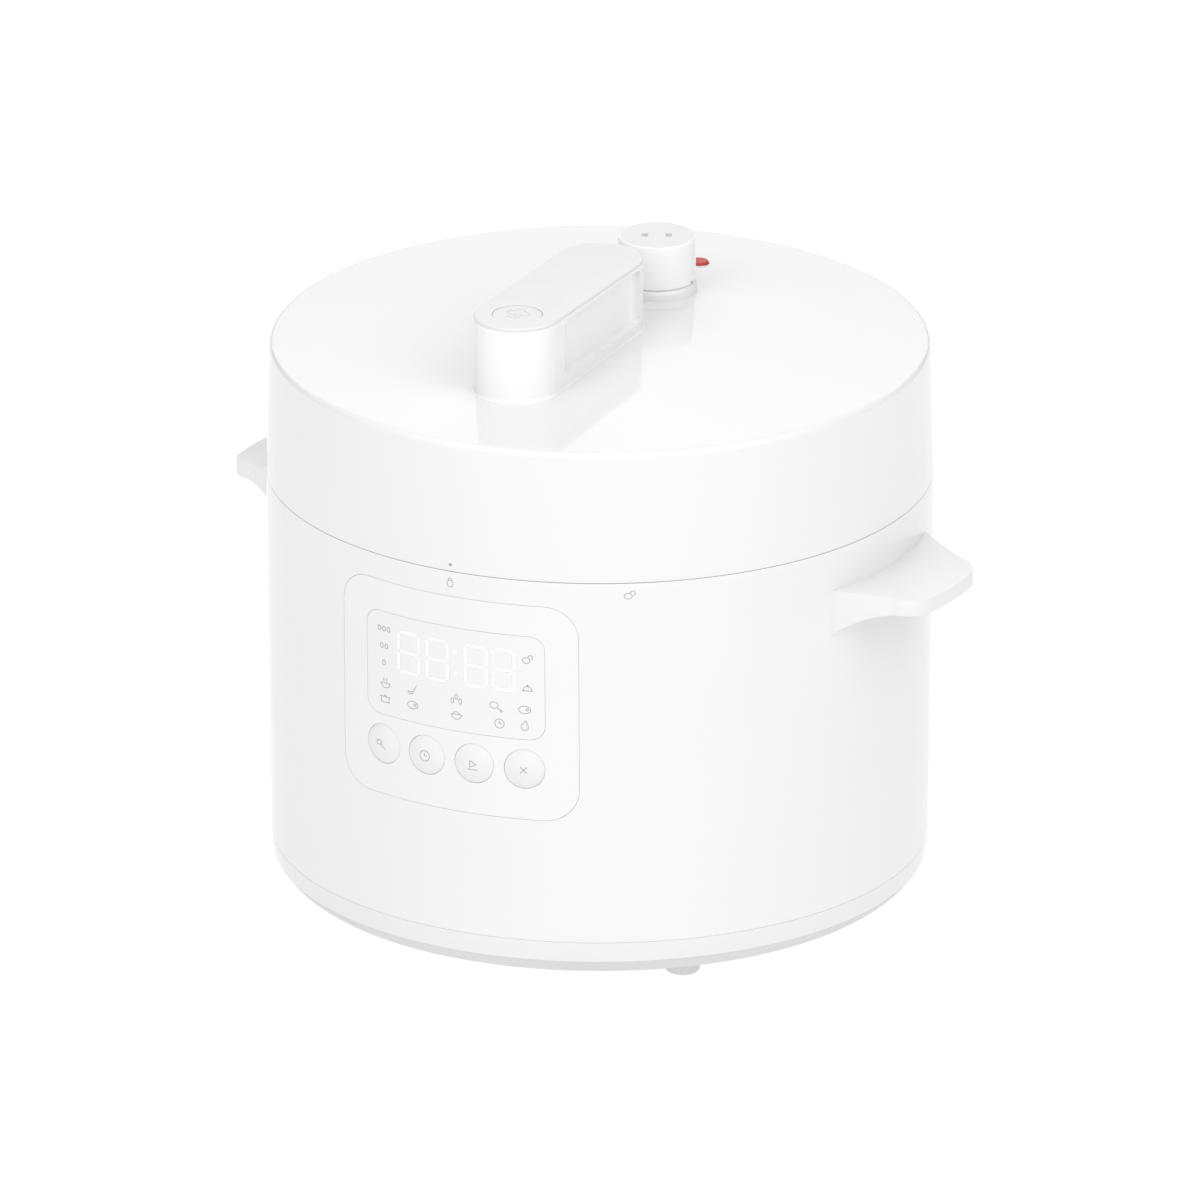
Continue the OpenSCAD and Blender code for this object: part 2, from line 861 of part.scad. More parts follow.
module drip_cup() {
    color(panel_white)
        difference() {
            union() {
                intersection() {
                    wall_slice(0, wall, cup_z0 - 5, cup_z1 + 5);
                    cup_opening(0, big / 2);
                }
                box([-29.5, 120.8, 121.5], [29.5, 136.2, 168]);
            }
            box([-27.5, 122.6, 123.5], [27.5, 133.5, 180]);
            translate([0, 152, 160]) rotate([0, 90, 0]) cylinder(h = 44, r = 15.5, center = true);
        }
}

// ---- lid ----

module lid_cover() {
    color(plastic_white)
        difference() {
            union() {
                rotate_extrude($fn = 180)
                    difference() {
                        lid_profile(0, skirt_z);
                        lid_profile(lid_wall, skirt_z - 1);
                    }
                for (a = boss_angles)
                    rotate([0, 0, a]) at(boss_ring_r, 0)
                        tube(metal_lid_z + metal_lid_t + 0.1, dome_z(boss_ring_r) - 1, 5);
                for (x = [-5.9, 5.9])
                    box([x - 1.4, lever_y - 5, lever_z - 3], [x + 1.4, lever_y + 5, handle_pad_z + 1]);
                handle_block(handle_r + handle_flare + 2, handle_pad_z, handle_seat_z - seat_gap);
            }
            handle_block(handle_r + handle_flare + seat_gap, handle_seat_z, lid_top_z + 1);
            at(0, valve_y) tube(collar_seat_z, 260, collar_r + seat_gap);
            for (a = boss_angles) rotate([0, 0, a]) at(boss_ring_r, 0) tube(200, 234, screw_r + 0.1);
            at(0, -handle_reach) tube(230, 260, 3.4);
            at(0, valve_y) tube(230, 260, cover_hole_r);
            at(0, float_y) tube(230, 260, float_r + 0.7);
            for (y = handle_screw_places()) at(0, y) tube(240, 260, screw_r + 0.2);
            lever_axis() tube(-10, 10, lever_pin_r + 0.02);
        }
}

// Children on the release lever's pivot axis, which runs along X.
module lever_axis() {
    translate([0, lever_y, lever_z + lever_t / 2]) rotate([0, 90, 0]) children();
}

function handle_screw_places() = [-42, 2];

// A block with round ends under the whole length of the handle, between two heights.
module handle_block(r, z0, z1) {
    for (y = [-handle_reach, 0]) at(0, y) tube(z0, z1, r);
    box([-r, -handle_reach, z0], [r, 0, z1]);
}

// A straight bar with round ends along Y, seen from above.
module stadium(r, y0, y1) {
    for (y = [y0, y1]) translate([0, y]) circle(r = r);
    translate([-r, y0]) square([2 * r, y1 - y0]);
}

module lid_handle() {
    boss_top_z = 266;
    web_z = 262;
    color(plastic_white)
        difference() {
            union() {
                difference() {
                    stadium_sweep(-handle_reach, 0) handle_profile();
                    translate([0, 0, handle_foot_z - 1])
                        linear_extrude(height = 40) stadium(handle_core_r, -handle_reach, 0);
                    for (s = [0, 1]) mirror([s, 0, 0]) finger_grip();
                }
                at(0, -handle_reach) tube(web_z, web_z + 2, handle_core_r + 0.5);
                for (y = handle_screw_places()) {
                    at(0, y) tube(handle_foot_z, boss_top_z, 4.5);
                    box([-handle_core_r - 0.5, y - 1, handle_foot_z], [handle_core_r + 0.5, y + 1, boss_top_z]);
                }
            }
            at(0, -handle_reach) tube(web_z - 5, web_z + 5, 3.3);
            for (y = handle_screw_places()) at(0, y) tube(handle_foot_z - 1, boss_top_z - 3, screw_r + 0.05);
        }
}

// Half of the handle's cross section: an upright bar whose foot flares out in a hollow fillet.
module handle_profile() {
    flare_top_z = lid_top_z + handle_flare / 2;
    square_from([0, handle_foot_z], [handle_r, handle_body_z]);
    difference() {
        square_from([handle_r - 1, handle_foot_z], [handle_r + handle_flare, flare_top_z]);
        translate([handle_r + handle_flare, flare_top_z]) circle(r = handle_flare);
    }
}

// The recess for the fingers in the handle's right side.
module finger_grip() {
    translate([handle_r - grip_depth, 6 - handle_reach, grip_z0])
        linear_extrude(height = grip_z1 - grip_z0)
            rounded_rect(20, handle_reach - 4, grip_depth - 0.1);
}

module handle_cap() {
    edge = 0.6;
    color(plastic_white)
        difference() {
            union() {
                stadium_sweep(-handle_reach, 0) {
                    translate([0, handle_top_z - cap_t]) square([handle_r, cap_t - edge]);
                    translate([0, handle_top_z - cap_t]) square([handle_r - edge, cap_t]);
                    translate([handle_r - edge, handle_top_z - edge]) circle(r = edge);
                }
                translate([0, 0, 272.5])
                    linear_extrude(height = 5.4) stadium(handle_core_r - 0.2, -handle_reach + 26, 0);
            }
            at(0, -handle_reach) tube(270, 290, release_r + 0.15);
        }
}

module release_button() {
    cap_h = 4.2;
    color(plastic_white)
        at(0, -handle_reach) {
            tube(handle_top_z - cap_h, handle_top_z - 0.1, release_r);
            tube(lever_z + lever_t + 0.3, handle_top_z - cap_h + 0.5, 3);
        }
}

module button_spring() {
    color(steel) at(0, -handle_reach) coil(264.8, 274, 5.6, 0.7, 4);
}

module release_lever() {
    fork_in = 10.9;
    fork_out = 14.4;
    top_z = lever_z + lever_t;
    color(plastic_white)
        difference() {
            union() {
                box([-4, -handle_reach - 5, lever_z], [4, 32, top_z]);
                box([-fork_out, 30, lever_z], [fork_out, 36, top_z]);
                for (s = [0, 1])
                    mirror([s, 0, 0]) box([fork_in, 34, lever_z], [fork_out, valve_y + 6, top_z]);
                lever_axis() tube(-4, 4, 3.6);
            }
            lever_axis() tube(-10, 10, lever_pin_r + 0.06);
        }
}

module lever_pin() {
    color(steel) lever_axis() tube(-8, 8, lever_pin_r);
}

module valve_lifter() {
    color(black_plastic)
        at(0, valve_y) {
            tube(lifter_z, knob_bottom_z - 0.3, 10.3, 7.2);
            tube(lifter_z, lifter_z + 1.8, 14.4, 7.2);
        }
}

module vent_pipe() {
    color(steel)
        at(0, valve_y)
            difference() {
                union() {
                    tube(206, 261, 4);
                    tube(metal_lid_z + metal_lid_t + 0.05, metal_lid_z + metal_lid_t + 2, 7);
                }
                tube(200, 270, 1.4);
            }
}

module vent_nut() {
    color(steel)
        at(0, valve_y)
            difference() {
                tube(209, metal_lid_z - 0.1, 7.5, 0, $fn = 6);
                tube(200, 220, 4.05);
            }
}

module limit_valve() {
    skirt_r = knob_r + 0.4;
    slot_angle = 27;
    color(plastic_white)
        at(0, valve_y)
            difference() {
                rotate_extrude($fn = 120) {
                    polygon([
                        [0, knob_bottom_z],
                        [skirt_r, knob_bottom_z],
                        [knob_r, knob_top_z - 0.6],
                        [knob_r - 0.6, knob_top_z],
                        [0, knob_top_z]
                    ]);
                }
                tube(knob_bottom_z - 1, 267.6, 9.1);
                tube(knob_bottom_z - 1, 265, 14, 11.2);
                tube(knob_top_z - 0.3, knob_top_z + 1, 4.2, 3.8);
                rotate([0, 0, slot_angle])
                    for (s = [-1, 1]) box([s * 5 - 1.6, -1, 260], [s * 5 + 1.6, 1, 280]);
                for (a = [0, 90])
                    translate([0, 0, knob_bottom_z])
                        rotate([0, 90, a]) cylinder(h = 50, r = 1.3, center = true);
            }
}

module valve_weight() {
    color(steel)
        at(0, valve_y) {
            difference() {
                tube(knob_bottom_z + 1.4, 267.4, 9);
                tube(knob_bottom_z, 262, 4.25);
            }
            translate([0, 0, 259.6]) cylinder(h = 2.5, r1 = 0.7, r2 = 1.2);
        }
}

module valve_collar() {
    bead_r = 2.2;
    bead_z = lid_top_z + 1.2;
    foot_z = collar_seat_z + seat_gap / 2;
    color(plastic_white)
        at(0, valve_y)
            rotate_extrude() {
                translate([collar_r - bead_r, bead_z]) circle(r = bead_r);
                square_from([cover_hole_r, foot_z], [collar_r - bead_r, bead_z + bead_r]);
                square_from([cover_hole_r, foot_z], [collar_r, bead_z]);
            }
}

module float_valve() {
    head_z = dome_z(float_y) - 1;
    color(float_red)
        at(0, float_y) {
            rotate_extrude() {
                square_from([0, head_z], [float_r, head_z + 1.4]);
                square_from([0, head_z], [float_r - 0.8, head_z + 2.2]);
                translate([float_r - 0.8, head_z + 1.4]) circle(r = 0.8);
            }
            tube(206.5, head_z + 1, 2.6);
            tube(206.5, 208, 5);
        }
}

module float_sleeve() {
    color(silicone_clear)
        at(0, float_y) {
            tube(metal_lid_z - 2.2, metal_lid_z - 0.05, 6.5, 3.1);
            tube(metal_lid_z - 0.1, metal_lid_z + metal_lid_t + 0.1, 4.3, 3.1);
            tube(metal_lid_z + metal_lid_t + 0.05, metal_lid_z + metal_lid_t + 2.2, 6.5, 3.1);
        }
}

module metal_lid() {
    tooth_top_z = flange_top_z - flange_t - lid_tooth_gap;
    plate_top_z = metal_lid_z + metal_lid_t;
    color(steel)
        difference() {
            union() {
                tube(metal_lid_z, plate_top_z, metal_skirt_r, 0, $fn = 180);
                tube(tooth_top_z - lid_tooth_t, plate_top_z, metal_skirt_r, metal_skirt_r - sheet_t, $fn = 180);
                teeth(lid_tooth_r, metal_skirt_r - 0.5, tooth_top_z - lid_tooth_t, tooth_top_z);
            }
            for (a = boss_angles) rotate([0, 0, a]) at(boss_ring_r, 0) tube(200, 230, screw_r + 0.3);
            at(0, valve_y) tube(200, 230, 4.1);
            at(0, float_y) tube(200, 230, 4.4);
        }
}

module sealing_ring() {
    color(silicone_clear)
        rotate_extrude($fn = 180)
            difference() {
                square_from([108.6, pot_rim_z + 0.3], [117.6, metal_lid_z - 0.3]);
                square_from([108, pot_rim_z + 2.3], [115, metal_lid_z - 2.3]);
            }
}

module ring_rack() {
    wire_r = 1.3;
    ring_r = 105.6;
    ring_z = pot_rim_z + 4.6;
    color(steel) {
        translate([0, 0, ring_z]) rotate_extrude($fn = 120) translate([ring_r, 0]) circle(r = wire_r, $fn = 32);
        for (a = [0:60:300])
            rotate([0, 0, a + 15]) box([ring_r - 3, -4, ring_z], [ring_r - 1.8, 4, metal_lid_z - 0.05]);
        for (a = [0:60:300])
            rotate([0, 0, a + 15]) box([ring_r - 3, -4, ring_z - 0.6], [ring_r, 4, ring_z + 0.6]);
    }
}

module anti_block_shield() {
    color(steel)
        at(0, valve_y)
            difference() {
                tube(202.5, metal_lid_z - 0.1, 11.5);
                tube(203.7, metal_lid_z + 1, 10.3);
                for (a = [0:30:150])
                    rotate([0, 0, a]) box([-20, -1, 204.5], [20, 1, 210.5]);
            }
}

module lid_screws() {
    color(steel)
        for (a = boss_angles)
            rotate([0, 0, a]) at(boss_ring_r, 0) screw(metal_lid_z - 2.1, 231);
}

module lid_handle_screws() {
    color(steel)
        for (y = handle_screw_places()) at(0, y) screw(handle_pad_z - 2.1, 262);
}

outer_housing();
base_cover();
feet();
side_handle(grip_angles()[0]);  // side_handle_right
side_handle(grip_angles()[1]);  // side_handle_left
side_handle_screws();
upper_collar();
outer_pot();
inner_pot();
heating_plate();
sensor_bracket();
temp_sensor();
sensor_spring();
pressure_switch();
thermal_fuse();
control_panel();
display_window();
button_taste();
button_timer();
button_start();
button_cancel();
button_mat();
control_board();
digit_module();
tact_switches();
panel_screws();
power_board();
power_components();
board_screws();
power_inlet();
inlet_pins();
wiring_loom();
ribbon_cable();
cup_pocket();
drip_cup();
base_screws();
lid_cover();
lid_handle();
handle_cap();
release_button();
button_spring();
release_lever();
lever_pin();
valve_lifter();
vent_pipe();
vent_nut();
limit_valve();
valve_weight();
valve_collar();
float_valve();
float_sleeve();
metal_lid();
sealing_ring();
ring_rack();
anti_block_shield();
lid_screws();
lid_handle_screws();
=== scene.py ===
import json
import math

import bpy
import bmesh
from mathutils import Matrix, Vector


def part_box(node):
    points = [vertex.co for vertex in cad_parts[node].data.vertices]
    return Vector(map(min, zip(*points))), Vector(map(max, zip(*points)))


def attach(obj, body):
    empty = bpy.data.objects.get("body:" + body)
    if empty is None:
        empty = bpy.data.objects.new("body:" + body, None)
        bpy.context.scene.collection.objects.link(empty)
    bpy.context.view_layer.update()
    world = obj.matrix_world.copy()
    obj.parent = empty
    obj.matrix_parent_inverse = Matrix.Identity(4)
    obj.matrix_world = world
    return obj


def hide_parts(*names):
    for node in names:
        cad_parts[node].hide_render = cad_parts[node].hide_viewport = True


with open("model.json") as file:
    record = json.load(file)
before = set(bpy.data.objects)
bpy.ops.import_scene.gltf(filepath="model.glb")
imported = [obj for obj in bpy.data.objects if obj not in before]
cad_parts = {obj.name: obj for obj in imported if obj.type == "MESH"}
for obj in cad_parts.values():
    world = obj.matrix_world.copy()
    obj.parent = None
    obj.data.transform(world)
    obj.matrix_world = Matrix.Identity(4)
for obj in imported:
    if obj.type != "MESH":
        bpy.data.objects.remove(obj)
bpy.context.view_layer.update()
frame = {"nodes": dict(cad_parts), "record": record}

NODES = frame["nodes"]

# ---- dimensions, in millimetres, as the CAD source has them ----

MM = 0.001


def node_box(node):
    """A CAD node's lowest and highest corner in millimetres."""
    low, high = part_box(node)
    return low / MM, high / MM


HOUSING_HIGH = node_box("outer_housing")[1]
LID_LOW = node_box("lid_cover")[0]
HANDLE_LOW = node_box("lid_handle")[0]
CAP_LOW, CAP_HIGH = node_box("handle_cap")
KNOB_LOW, KNOB_HIGH = node_box("limit_valve")
COLLAR_LOW = node_box("valve_collar")[0]
FLOAT_LOW, FLOAT_HIGH = node_box("float_valve")

SEAM_R = 140.0
BASE_R = 138.4
SEAM_Z = 186.5
BASE_SEAM_Z = 25.5
BASE_GAP = 0.4
WALL = 2.6
INLET_HALF = 16.3
INLET_Z0 = 27.7
INLET_Z1 = 54.3
BOTTOM_Z = 9.5
BOTTOM_R = 130.5
CHAMFER_R = 137.3
CHAMFER_Z = 16.4
POST_RING_R = 100
POST_ANGLES = [30, 150, 270]
FOOT_RING_R = 110
FOOT_ANGLES = [45, 135, 225, 315]
FOOT_R = 8

RIM_R = 138.6
RIM_FILLET = 3.0
LID_WALL = 2.8
RIM_Z = 240.2
LID_TOP_Z = 248.5
DOME_EDGE_R = RIM_R - RIM_FILLET
DOME_RISE = LID_TOP_Z - RIM_Z - RIM_FILLET
DOME_R = (DOME_EDGE_R ** 2 + DOME_RISE ** 2) / (2 * DOME_RISE)

PANEL_W = 109.6
PANEL_Z0 = 79.5
PANEL_Z1 = 175.2
PANEL_CORNER = 14.0
PANEL_T = 4.2
PANEL_GAP = 0.14
PANE_T = 1.9
WINDOW_W = 83.0
WINDOW_Z0 = 115.2
WINDOW_Z1 = 161.5
WINDOW_CORNER = 6.5
KEY_R = 8.7
KEY_Z = 102.1
KEY_PITCH = 9.1
KEY_DOME = 2.0
KEY_PROUD = 1.7
KEY_GAP = 0.09
DIGIT_TALL = 17.7
DIGIT_Z = 136.7
DIGITS = [(-24.8, 10.2), (-10.5, 9.6), (7.4, 9.3), (19.9, 8.9)]

HANDLE_R = 18.0
HANDLE_REACH = 76.6
HANDLE_FLARE = 1.2
GRIP_Z0 = 252.5
GRIP_Z1 = 275.9
GRIP_DEPTH = 4.0
HANDLE_CAP_T = 1.3
HANDLE_CAP_GAP = 0.1
RELEASE_R = 10.4

VALVE_Y = (KNOB_LOW.y + KNOB_HIGH.y) / 2
FLOAT_Y = (FLOAT_LOW.y + FLOAT_HIGH.y) / 2
KNOB_R = 16.2
COLLAR_R = 17.0
VALVE_HOLE_R = 11
FLOAT_HOLE_R = 4.3

SIDE_TIP = 169.4
SIDE_UNDER_Z = 148
SIDE_HANDLES = [("right_grip", "side_handle_right", -3.0), ("left_grip", "side_handle_left", 175.0)]

# Cutters for openings in the wall run between these distances from the axis.
CUT_NEAR = 100
CUT_FAR = 200
# Cutters for openings in the lid run between these heights.
LID_CUT_LOW = 230
LID_CUT_HIGH = 260
# Cutters for openings in the lid handle end above it.
HANDLE_CUT_TOP = 290

CAMERA_AZIMUTH = 26.7
CAMERA_ELEVATION = 20.9
CAMERA_DISTANCE = 11.485
CAMERA_TARGET_Z = 0.1256
CAMERA_LENS = 820
LIGHT_TARGET_Z = 0.13
SOFTBOX_DISTANCE = 2.6


def wall_r(z):
    """The housing's outer radius at a height."""
    return BASE_R + (SEAM_R - BASE_R) * (z - BASE_SEAM_Z) / (SEAM_Z - BASE_SEAM_Z)


def lid_r(z):
    """The lid's outer radius at a height on its side."""
    return SEAM_R + (RIM_R - SEAM_R) * (z - LID_LOW.z) / (RIM_Z - LID_LOW.z)


def dome_z(r):
    """The height of the lid's domed top at a distance from its centre."""
    return LID_TOP_Z - DOME_R + math.sqrt(DOME_R ** 2 - r * r)


# ---- making meshes ----

def shade(piece, crease=30):
    """Smooth shading, with edges sharper than the crease angle left sharp."""
    piece.data.shade_smooth()
    piece.data.set_sharp_from_angle(angle=math.radians(crease))
    return piece


def make_piece(name, points, faces, crease=30):
    """A linked object from points in millimetres."""
    mesh = bpy.data.meshes.new(name)
    mesh.from_pydata([Vector(p) * MM for p in points], [], faces)
    form = bmesh.new()
    form.from_mesh(mesh)
    bmesh.ops.recalc_face_normals(form, faces=form.faces)
    form.to_mesh(mesh)
    form.free()
    piece = bpy.data.objects.new(name, mesh)
    bpy.context.scene.collection.objects.link(piece)
    return shade(piece, crease)


def rounded(corners, steps=6):
    """A closed outline from (x, y, radius) corners, each replaced by an arc of that radius."""
    outline = []
    for i, (x, y, radius) in enumerate(corners):
        here = Vector((x, y))
        if radius == 0:
            outline.append(here)
            continue
        back = (Vector(corners[i - 1][:2]) - here).normalized()
        ahead = (Vector(corners[(i + 1) % len(corners)][:2]) - here).normalized()
        half = back.angle(ahead) / 2
        centre = here + (back + ahead).normalized() * radius / math.sin(half)
        start = here + back * radius / math.tan(half) - centre
        end = here + ahead * radius / math.tan(half) - centre
        outline += [centre + radius * start.slerp(end, k / steps) for k in range(steps + 1)]
    return outline


def with_steps(outline, longest):
    """The closed outline with its long sides split, so that a cut leaves only short faces."""
    result = []
    for a, b in zip(outline, outline[1:] + outline[:1]):
        count = max(1, math.ceil((b - a).length / longest))
        result += [a.lerp(b, k / count) for k in range(count)]
    return result


def rectangle(x0, y0, x1, y1, radius=0, steps=10):
    """A closed rectangle between two corners."""
    return rounded([(x0, y0, radius), (x1, y0, radius), (x1, y1, radius), (x0, y1, radius)], steps)


def lathe(name, outline, centre=(0, 0), turns=192, start=0.0, sweep=360.0, crease=30):
    """A closed outline of (radius, height) turned about a vertical axis."""
    full = sweep == 360.0
    points, faces, index = [], [], {}

    def corner(i, j):
        r, z = outline[j]
        i = 0 if r < 1e-6 else (i % turns if full else i)
        if (i, j) not in index:
            angle = math.radians(start + sweep * i / turns)
            index[(i, j)] = len(points)
            points.append((centre[0] + r * math.cos(angle), centre[1] + r * math.sin(angle), z))
        return index[(i, j)]

    for i in range(turns):
        for j in range(len(outline)):
            k = (j + 1) % len(outline)
            ring = list(dict.fromkeys([corner(i, j), corner(i + 1, j), corner(i + 1, k), corner(i, k)]))
            if len(ring) > 2:
                faces.append(ring)
    if not full:
        for i in (0, turns):
            faces.append([corner(i, j) for j in range(len(outline))])
    return make_piece(name, points, faces, crease)


def prism(name, outline, low, high, turn=Matrix.Identity(4), crease=30):
    """A flat outline given thickness from low to high along Z, then turned into place."""
    count = len(outline)
    points = [turn @ Vector((p[0], p[1], h)) for h in (low, high) for p in outline]
    faces = [list(range(count)), list(range(count, 2 * count))]
    faces += [[i, (i + 1) % count, count + (i + 1) % count, count + i] for i in range(count)]
    return make_piece(name, points, faces, crease)


# Turns a flat outline of (x, height) so that its thickness points to the front.
TO_FRONT = Matrix.Rotation(math.pi / 2, 4, "X")


def at(place, outline):
    """A flat outline moved to a place."""
    return [p + Vector(place) for p in outline]


def arc(cx, cy, rx, ry, start=0, end=360, count=20):
    """Points of an ellipse's arc, in degrees."""
    angles = [math.radians(start + (end - start) * i / count) for i in range(count + 1)]
    return [Vector((cx + rx * math.cos(a), cy + ry * math.sin(a))) for a in angles]


def circle(radius, count=96):
    """A closed flat circle."""
    return arc(0, 0, radius, radius, count=count)[:-1]


def ring_place(radius, angle):
    """A flat point at a radius and an angle in degrees."""
    return Vector((radius * math.cos(math.radians(angle)), radius * math.sin(math.radians(angle))))


def disc(radius, top, bottom=-0.02):
    """The outline for a lathe of a thin raised dot."""
    return [Vector((0, bottom)), Vector((radius, bottom)), Vector((radius, top)), Vector((0, top))]


def bake(piece, crease=30):
    """Applies a piece's modifiers to its mesh."""
    seen = piece.evaluated_get(bpy.context.evaluated_depsgraph_get())
    mesh = bpy.data.meshes.new_from_object(seen)
    mesh.name = piece.name
    piece.modifiers.clear()
    piece.data = mesh
    return shade(piece, crease)


def carve(piece, cutters, operation="DIFFERENCE", crease=30):
    """Cuts the cutters out of a piece, or joins or intersects them with it, and removes them."""
    for cutter in cutters:
        modifier = piece.modifiers.new("carve", "BOOLEAN")
        modifier.operation = operation
        modifier.solver = "EXACT"
        modifier.object = cutter
    bake(piece, crease)
    for cutter in cutters:
        bpy.data.objects.remove(cutter)
    return piece


def soften(piece, width, angle=50, rows=2, crease=30):
    """Rounds a piece's sharp edges."""
    modifier = piece.modifiers.new("soften", "BEVEL")
    modifier.width = width * MM
    modifier.segments = rows
    modifier.limit_method = "ANGLE"
    modifier.angle_limit = math.radians(angle)
    modifier.harden_normals = False
    return bake(piece, crease)


def join(piece, others):
    """Adds other pieces' meshes to a piece."""
    form = bmesh.new()
    for part in [piece, *others]:
        form.from_mesh(part.data)
    form.to_mesh(piece.data)
    form.free()
    for part in others:
        bpy.data.objects.remove(part)
    return shade(piece)


def place(piece, body, material, slot, stands_for=()):
    """Gives a finished piece its material, its body and the CAD nodes that it stands for."""
    piece.data.materials.clear()
    piece.data.materials.append(material)
    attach(piece, body)
    if stands_for:
        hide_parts(*stands_for)
    return piece


# ---- materials ----

def new_material(name):
    """An empty node material with its shader and a texture coordinate in the object's own space."""
    material = bpy.data.materials.new(name)
    material.use_nodes = True
    nodes = material.node_tree.nodes
    shader = nodes["Principled BSDF"]
    where = nodes.new("ShaderNodeTexCoord").outputs["Object"]
    return material, nodes, material.node_tree.links, shader, where


def noise(nodes, links, where, scale, detail=3.0, stretch=(1, 1, 1)):
    """A noise texture, in cycles per metre, that can be stretched along an axis."""
    mapping = nodes.new("ShaderNodeMapping")
    mapping.inputs["Scale"].default_value = stretch
    links.new(where, mapping.inputs["Vector"])
    texture = nodes.new("ShaderNodeTexNoise")
    texture.inputs["Scale"].default_value = scale
    texture.inputs["Detail"].default_value = detail
    links.new(mapping.outputs["Vector"], texture.inputs["Vector"])
    return texture.outputs["Fac"]


# Most of a noise texture's values lie between these two.
NOISE_LOW = 0.3
NOISE_HIGH = 0.7


def remap(nodes, links, value, start, stop, low=0.0, high=1.0, curve="LINEAR"):
    """A value that goes from low to high while its source goes from start to stop."""
    spread = nodes.new("ShaderNodeMapRange")
    spread.interpolation_type = curve
    for key, number in (("From Min", start), ("From Max", stop), ("To Min", low), ("To Max", high)):
        spread.inputs[key].default_value = number
    links.new(value, spread.inputs["Value"])
    return spread.outputs["Result"]


def tint(nodes, links, value, dark, light):
    """A noise value turned into a colour between two tones."""
    ramp = nodes.new("ShaderNodeValToRGB")
    ramp.color_ramp.elements[0].position = NOISE_LOW
    ramp.color_ramp.elements[1].position = NOISE_HIGH
    ramp.color_ramp.elements[0].color = (*dark, 1)
    ramp.color_ramp.elements[1].color = (*light, 1)
    links.new(value, ramp.inputs["Fac"])
    return ramp.outputs["Color"]


def bump(nodes, links, shader, value, strength, depth):
    """A fine relief from a noise value."""
    relief = nodes.new("ShaderNodeBump")
    relief.inputs["Strength"].default_value = strength
    relief.inputs["Distance"].default_value = depth * MM
    links.new(value, relief.inputs["Height"])
    links.new(relief.outputs["Normal"], shader.inputs["Normal"])


def grey(level):
    """A neutral colour."""
    return (level, level, level)


def plastic(name, tone, shift, rough, grain, relief, depth, soft=0.0):
    """Moulded plastic: a faint cloudiness in its colour, uneven gloss and a fine moulded grain."""
    material, nodes, links, shader, where = new_material(name)
    cloud = noise(nodes, links, where, 14, 2)
    dark = [c - shift for c in tone]
    light = [c + shift for c in tone]
    links.new(tint(nodes, links, cloud, dark, light), shader.inputs["Base Color"])
    wear = noise(nodes, links, where, 60, 4)
    links.new(remap(nodes, links, wear, NOISE_LOW, NOISE_HIGH, *rough), shader.inputs["Roughness"])
    bump(nodes, links, shader, noise(nodes, links, where, grain, 2), relief, depth)
    shader.inputs["IOR"].default_value = 1.5
    shader.inputs["Subsurface Weight"].default_value = soft
    shader.inputs["Subsurface Radius"].default_value = (1.0, 0.95, 0.9)
    shader.inputs["Subsurface Scale"].default_value = 0.8 * MM
    return material


def metal(name, tone, shift, rough, grain, stretch, relief):
    """Bare metal with a fine brushed, spun or cast grain."""
    material, nodes, links, shader, where = new_material(name)
    streak = noise(nodes, links, where, grain, 5, stretch)
    dark = [c - shift for c in tone]
    light = [c + shift for c in tone]
    links.new(tint(nodes, links, streak, dark, light), shader.inputs["Base Color"])
    links.new(remap(nodes, links, streak, NOISE_LOW, NOISE_HIGH, *rough), shader.inputs["Roughness"])
    bump(nodes, links, shader, streak, relief, 0.02)
    shader.inputs["Metallic"].default_value = 1.0
    return material


def glowing(name, tone, strength, cover=1.0):
    """A lit white diffuser with a slightly uneven glow. A low cover lets the pane show through."""
    material, nodes, links, shader, where = new_material(name)
    cloud = noise(nodes, links, where, 400, 2)
    links.new(tint(nodes, links, cloud, [c - 0.02 for c in tone], tone), shader.inputs["Base Color"])
    links.new(tint(nodes, links, cloud, [c - 0.03 for c in tone], tone), shader.inputs["Emission Color"])
    shader.inputs["Emission Strength"].default_value = strength
    shader.inputs["Roughness"].default_value = 0.4
    shader.inputs["Alpha"].default_value = cover
    return material


WHITE = plastic("white_gloss_plastic", grey(0.79), 0.004, (0.09, 0.15), 900, 0.02, 0.006)
LID_WHITE = plastic("lid_gloss_plastic", grey(0.79), 0.004, (0.05, 0.09), 900, 0.012, 0.006)
PANEL_WHITE = plastic("panel_plastic", grey(0.80), 0.004, (0.10, 0.16), 1200, 0.02, 0.006)
# A lighter copy of the white plastic for the lid handle and the knob: its extra lightness is painted light,
# standing in for light on their sides.
LIT_HANDLE_WHITE = plastic("handle_gloss_plastic_painted_light", grey(0.875), 0.004, (0.14, 0.22), 1200, 0.02, 0.006)
GRIP_WHITE = plastic("grip_plastic", grey(0.775), 0.004, (0.3, 0.4), 1500, 0.05, 0.01)
MATTE_WHITE = plastic("matte_white_plastic", grey(0.76), 0.006, (0.42, 0.55), 2600, 0.16, 0.03)
KEY_WHITE = plastic("push_button_plastic", grey(0.77), 0.004, (0.16, 0.24), 1500, 0.02, 0.006)
INNER_WHITE = plastic("inner_white_plastic", (0.76, 0.76, 0.755), 0.01, (0.35, 0.5), 1800, 0.12, 0.03)
BASE_WHITE = plastic("base_plastic", grey(0.77), 0.004, (0.12, 0.18), 1200, 0.02, 0.006)
# A darker, rougher copy of the white plastic for the base's chamfer, underside and feet: its darkness is
# painted shade, since the lit floor would otherwise brighten them.
SHADED_UNDER_WHITE = plastic("underside_painted_shade_plastic", grey(0.66), 0.008, (0.45, 0.6), 1800, 0.1, 0.02)
WINDOW_WHITE = plastic("window_plastic", grey(0.79), 0.003, (0.08, 0.12), 1400, 0.02, 0.01)
PRINT_GREY = plastic("print_ink", grey(0.36), 0.02, (0.45, 0.6), 3000, 0.1, 0.01)
BLACK = plastic("black_plastic", (0.020, 0.020, 0.022), 0.006, (0.4, 0.6), 2000, 0.2, 0.03)
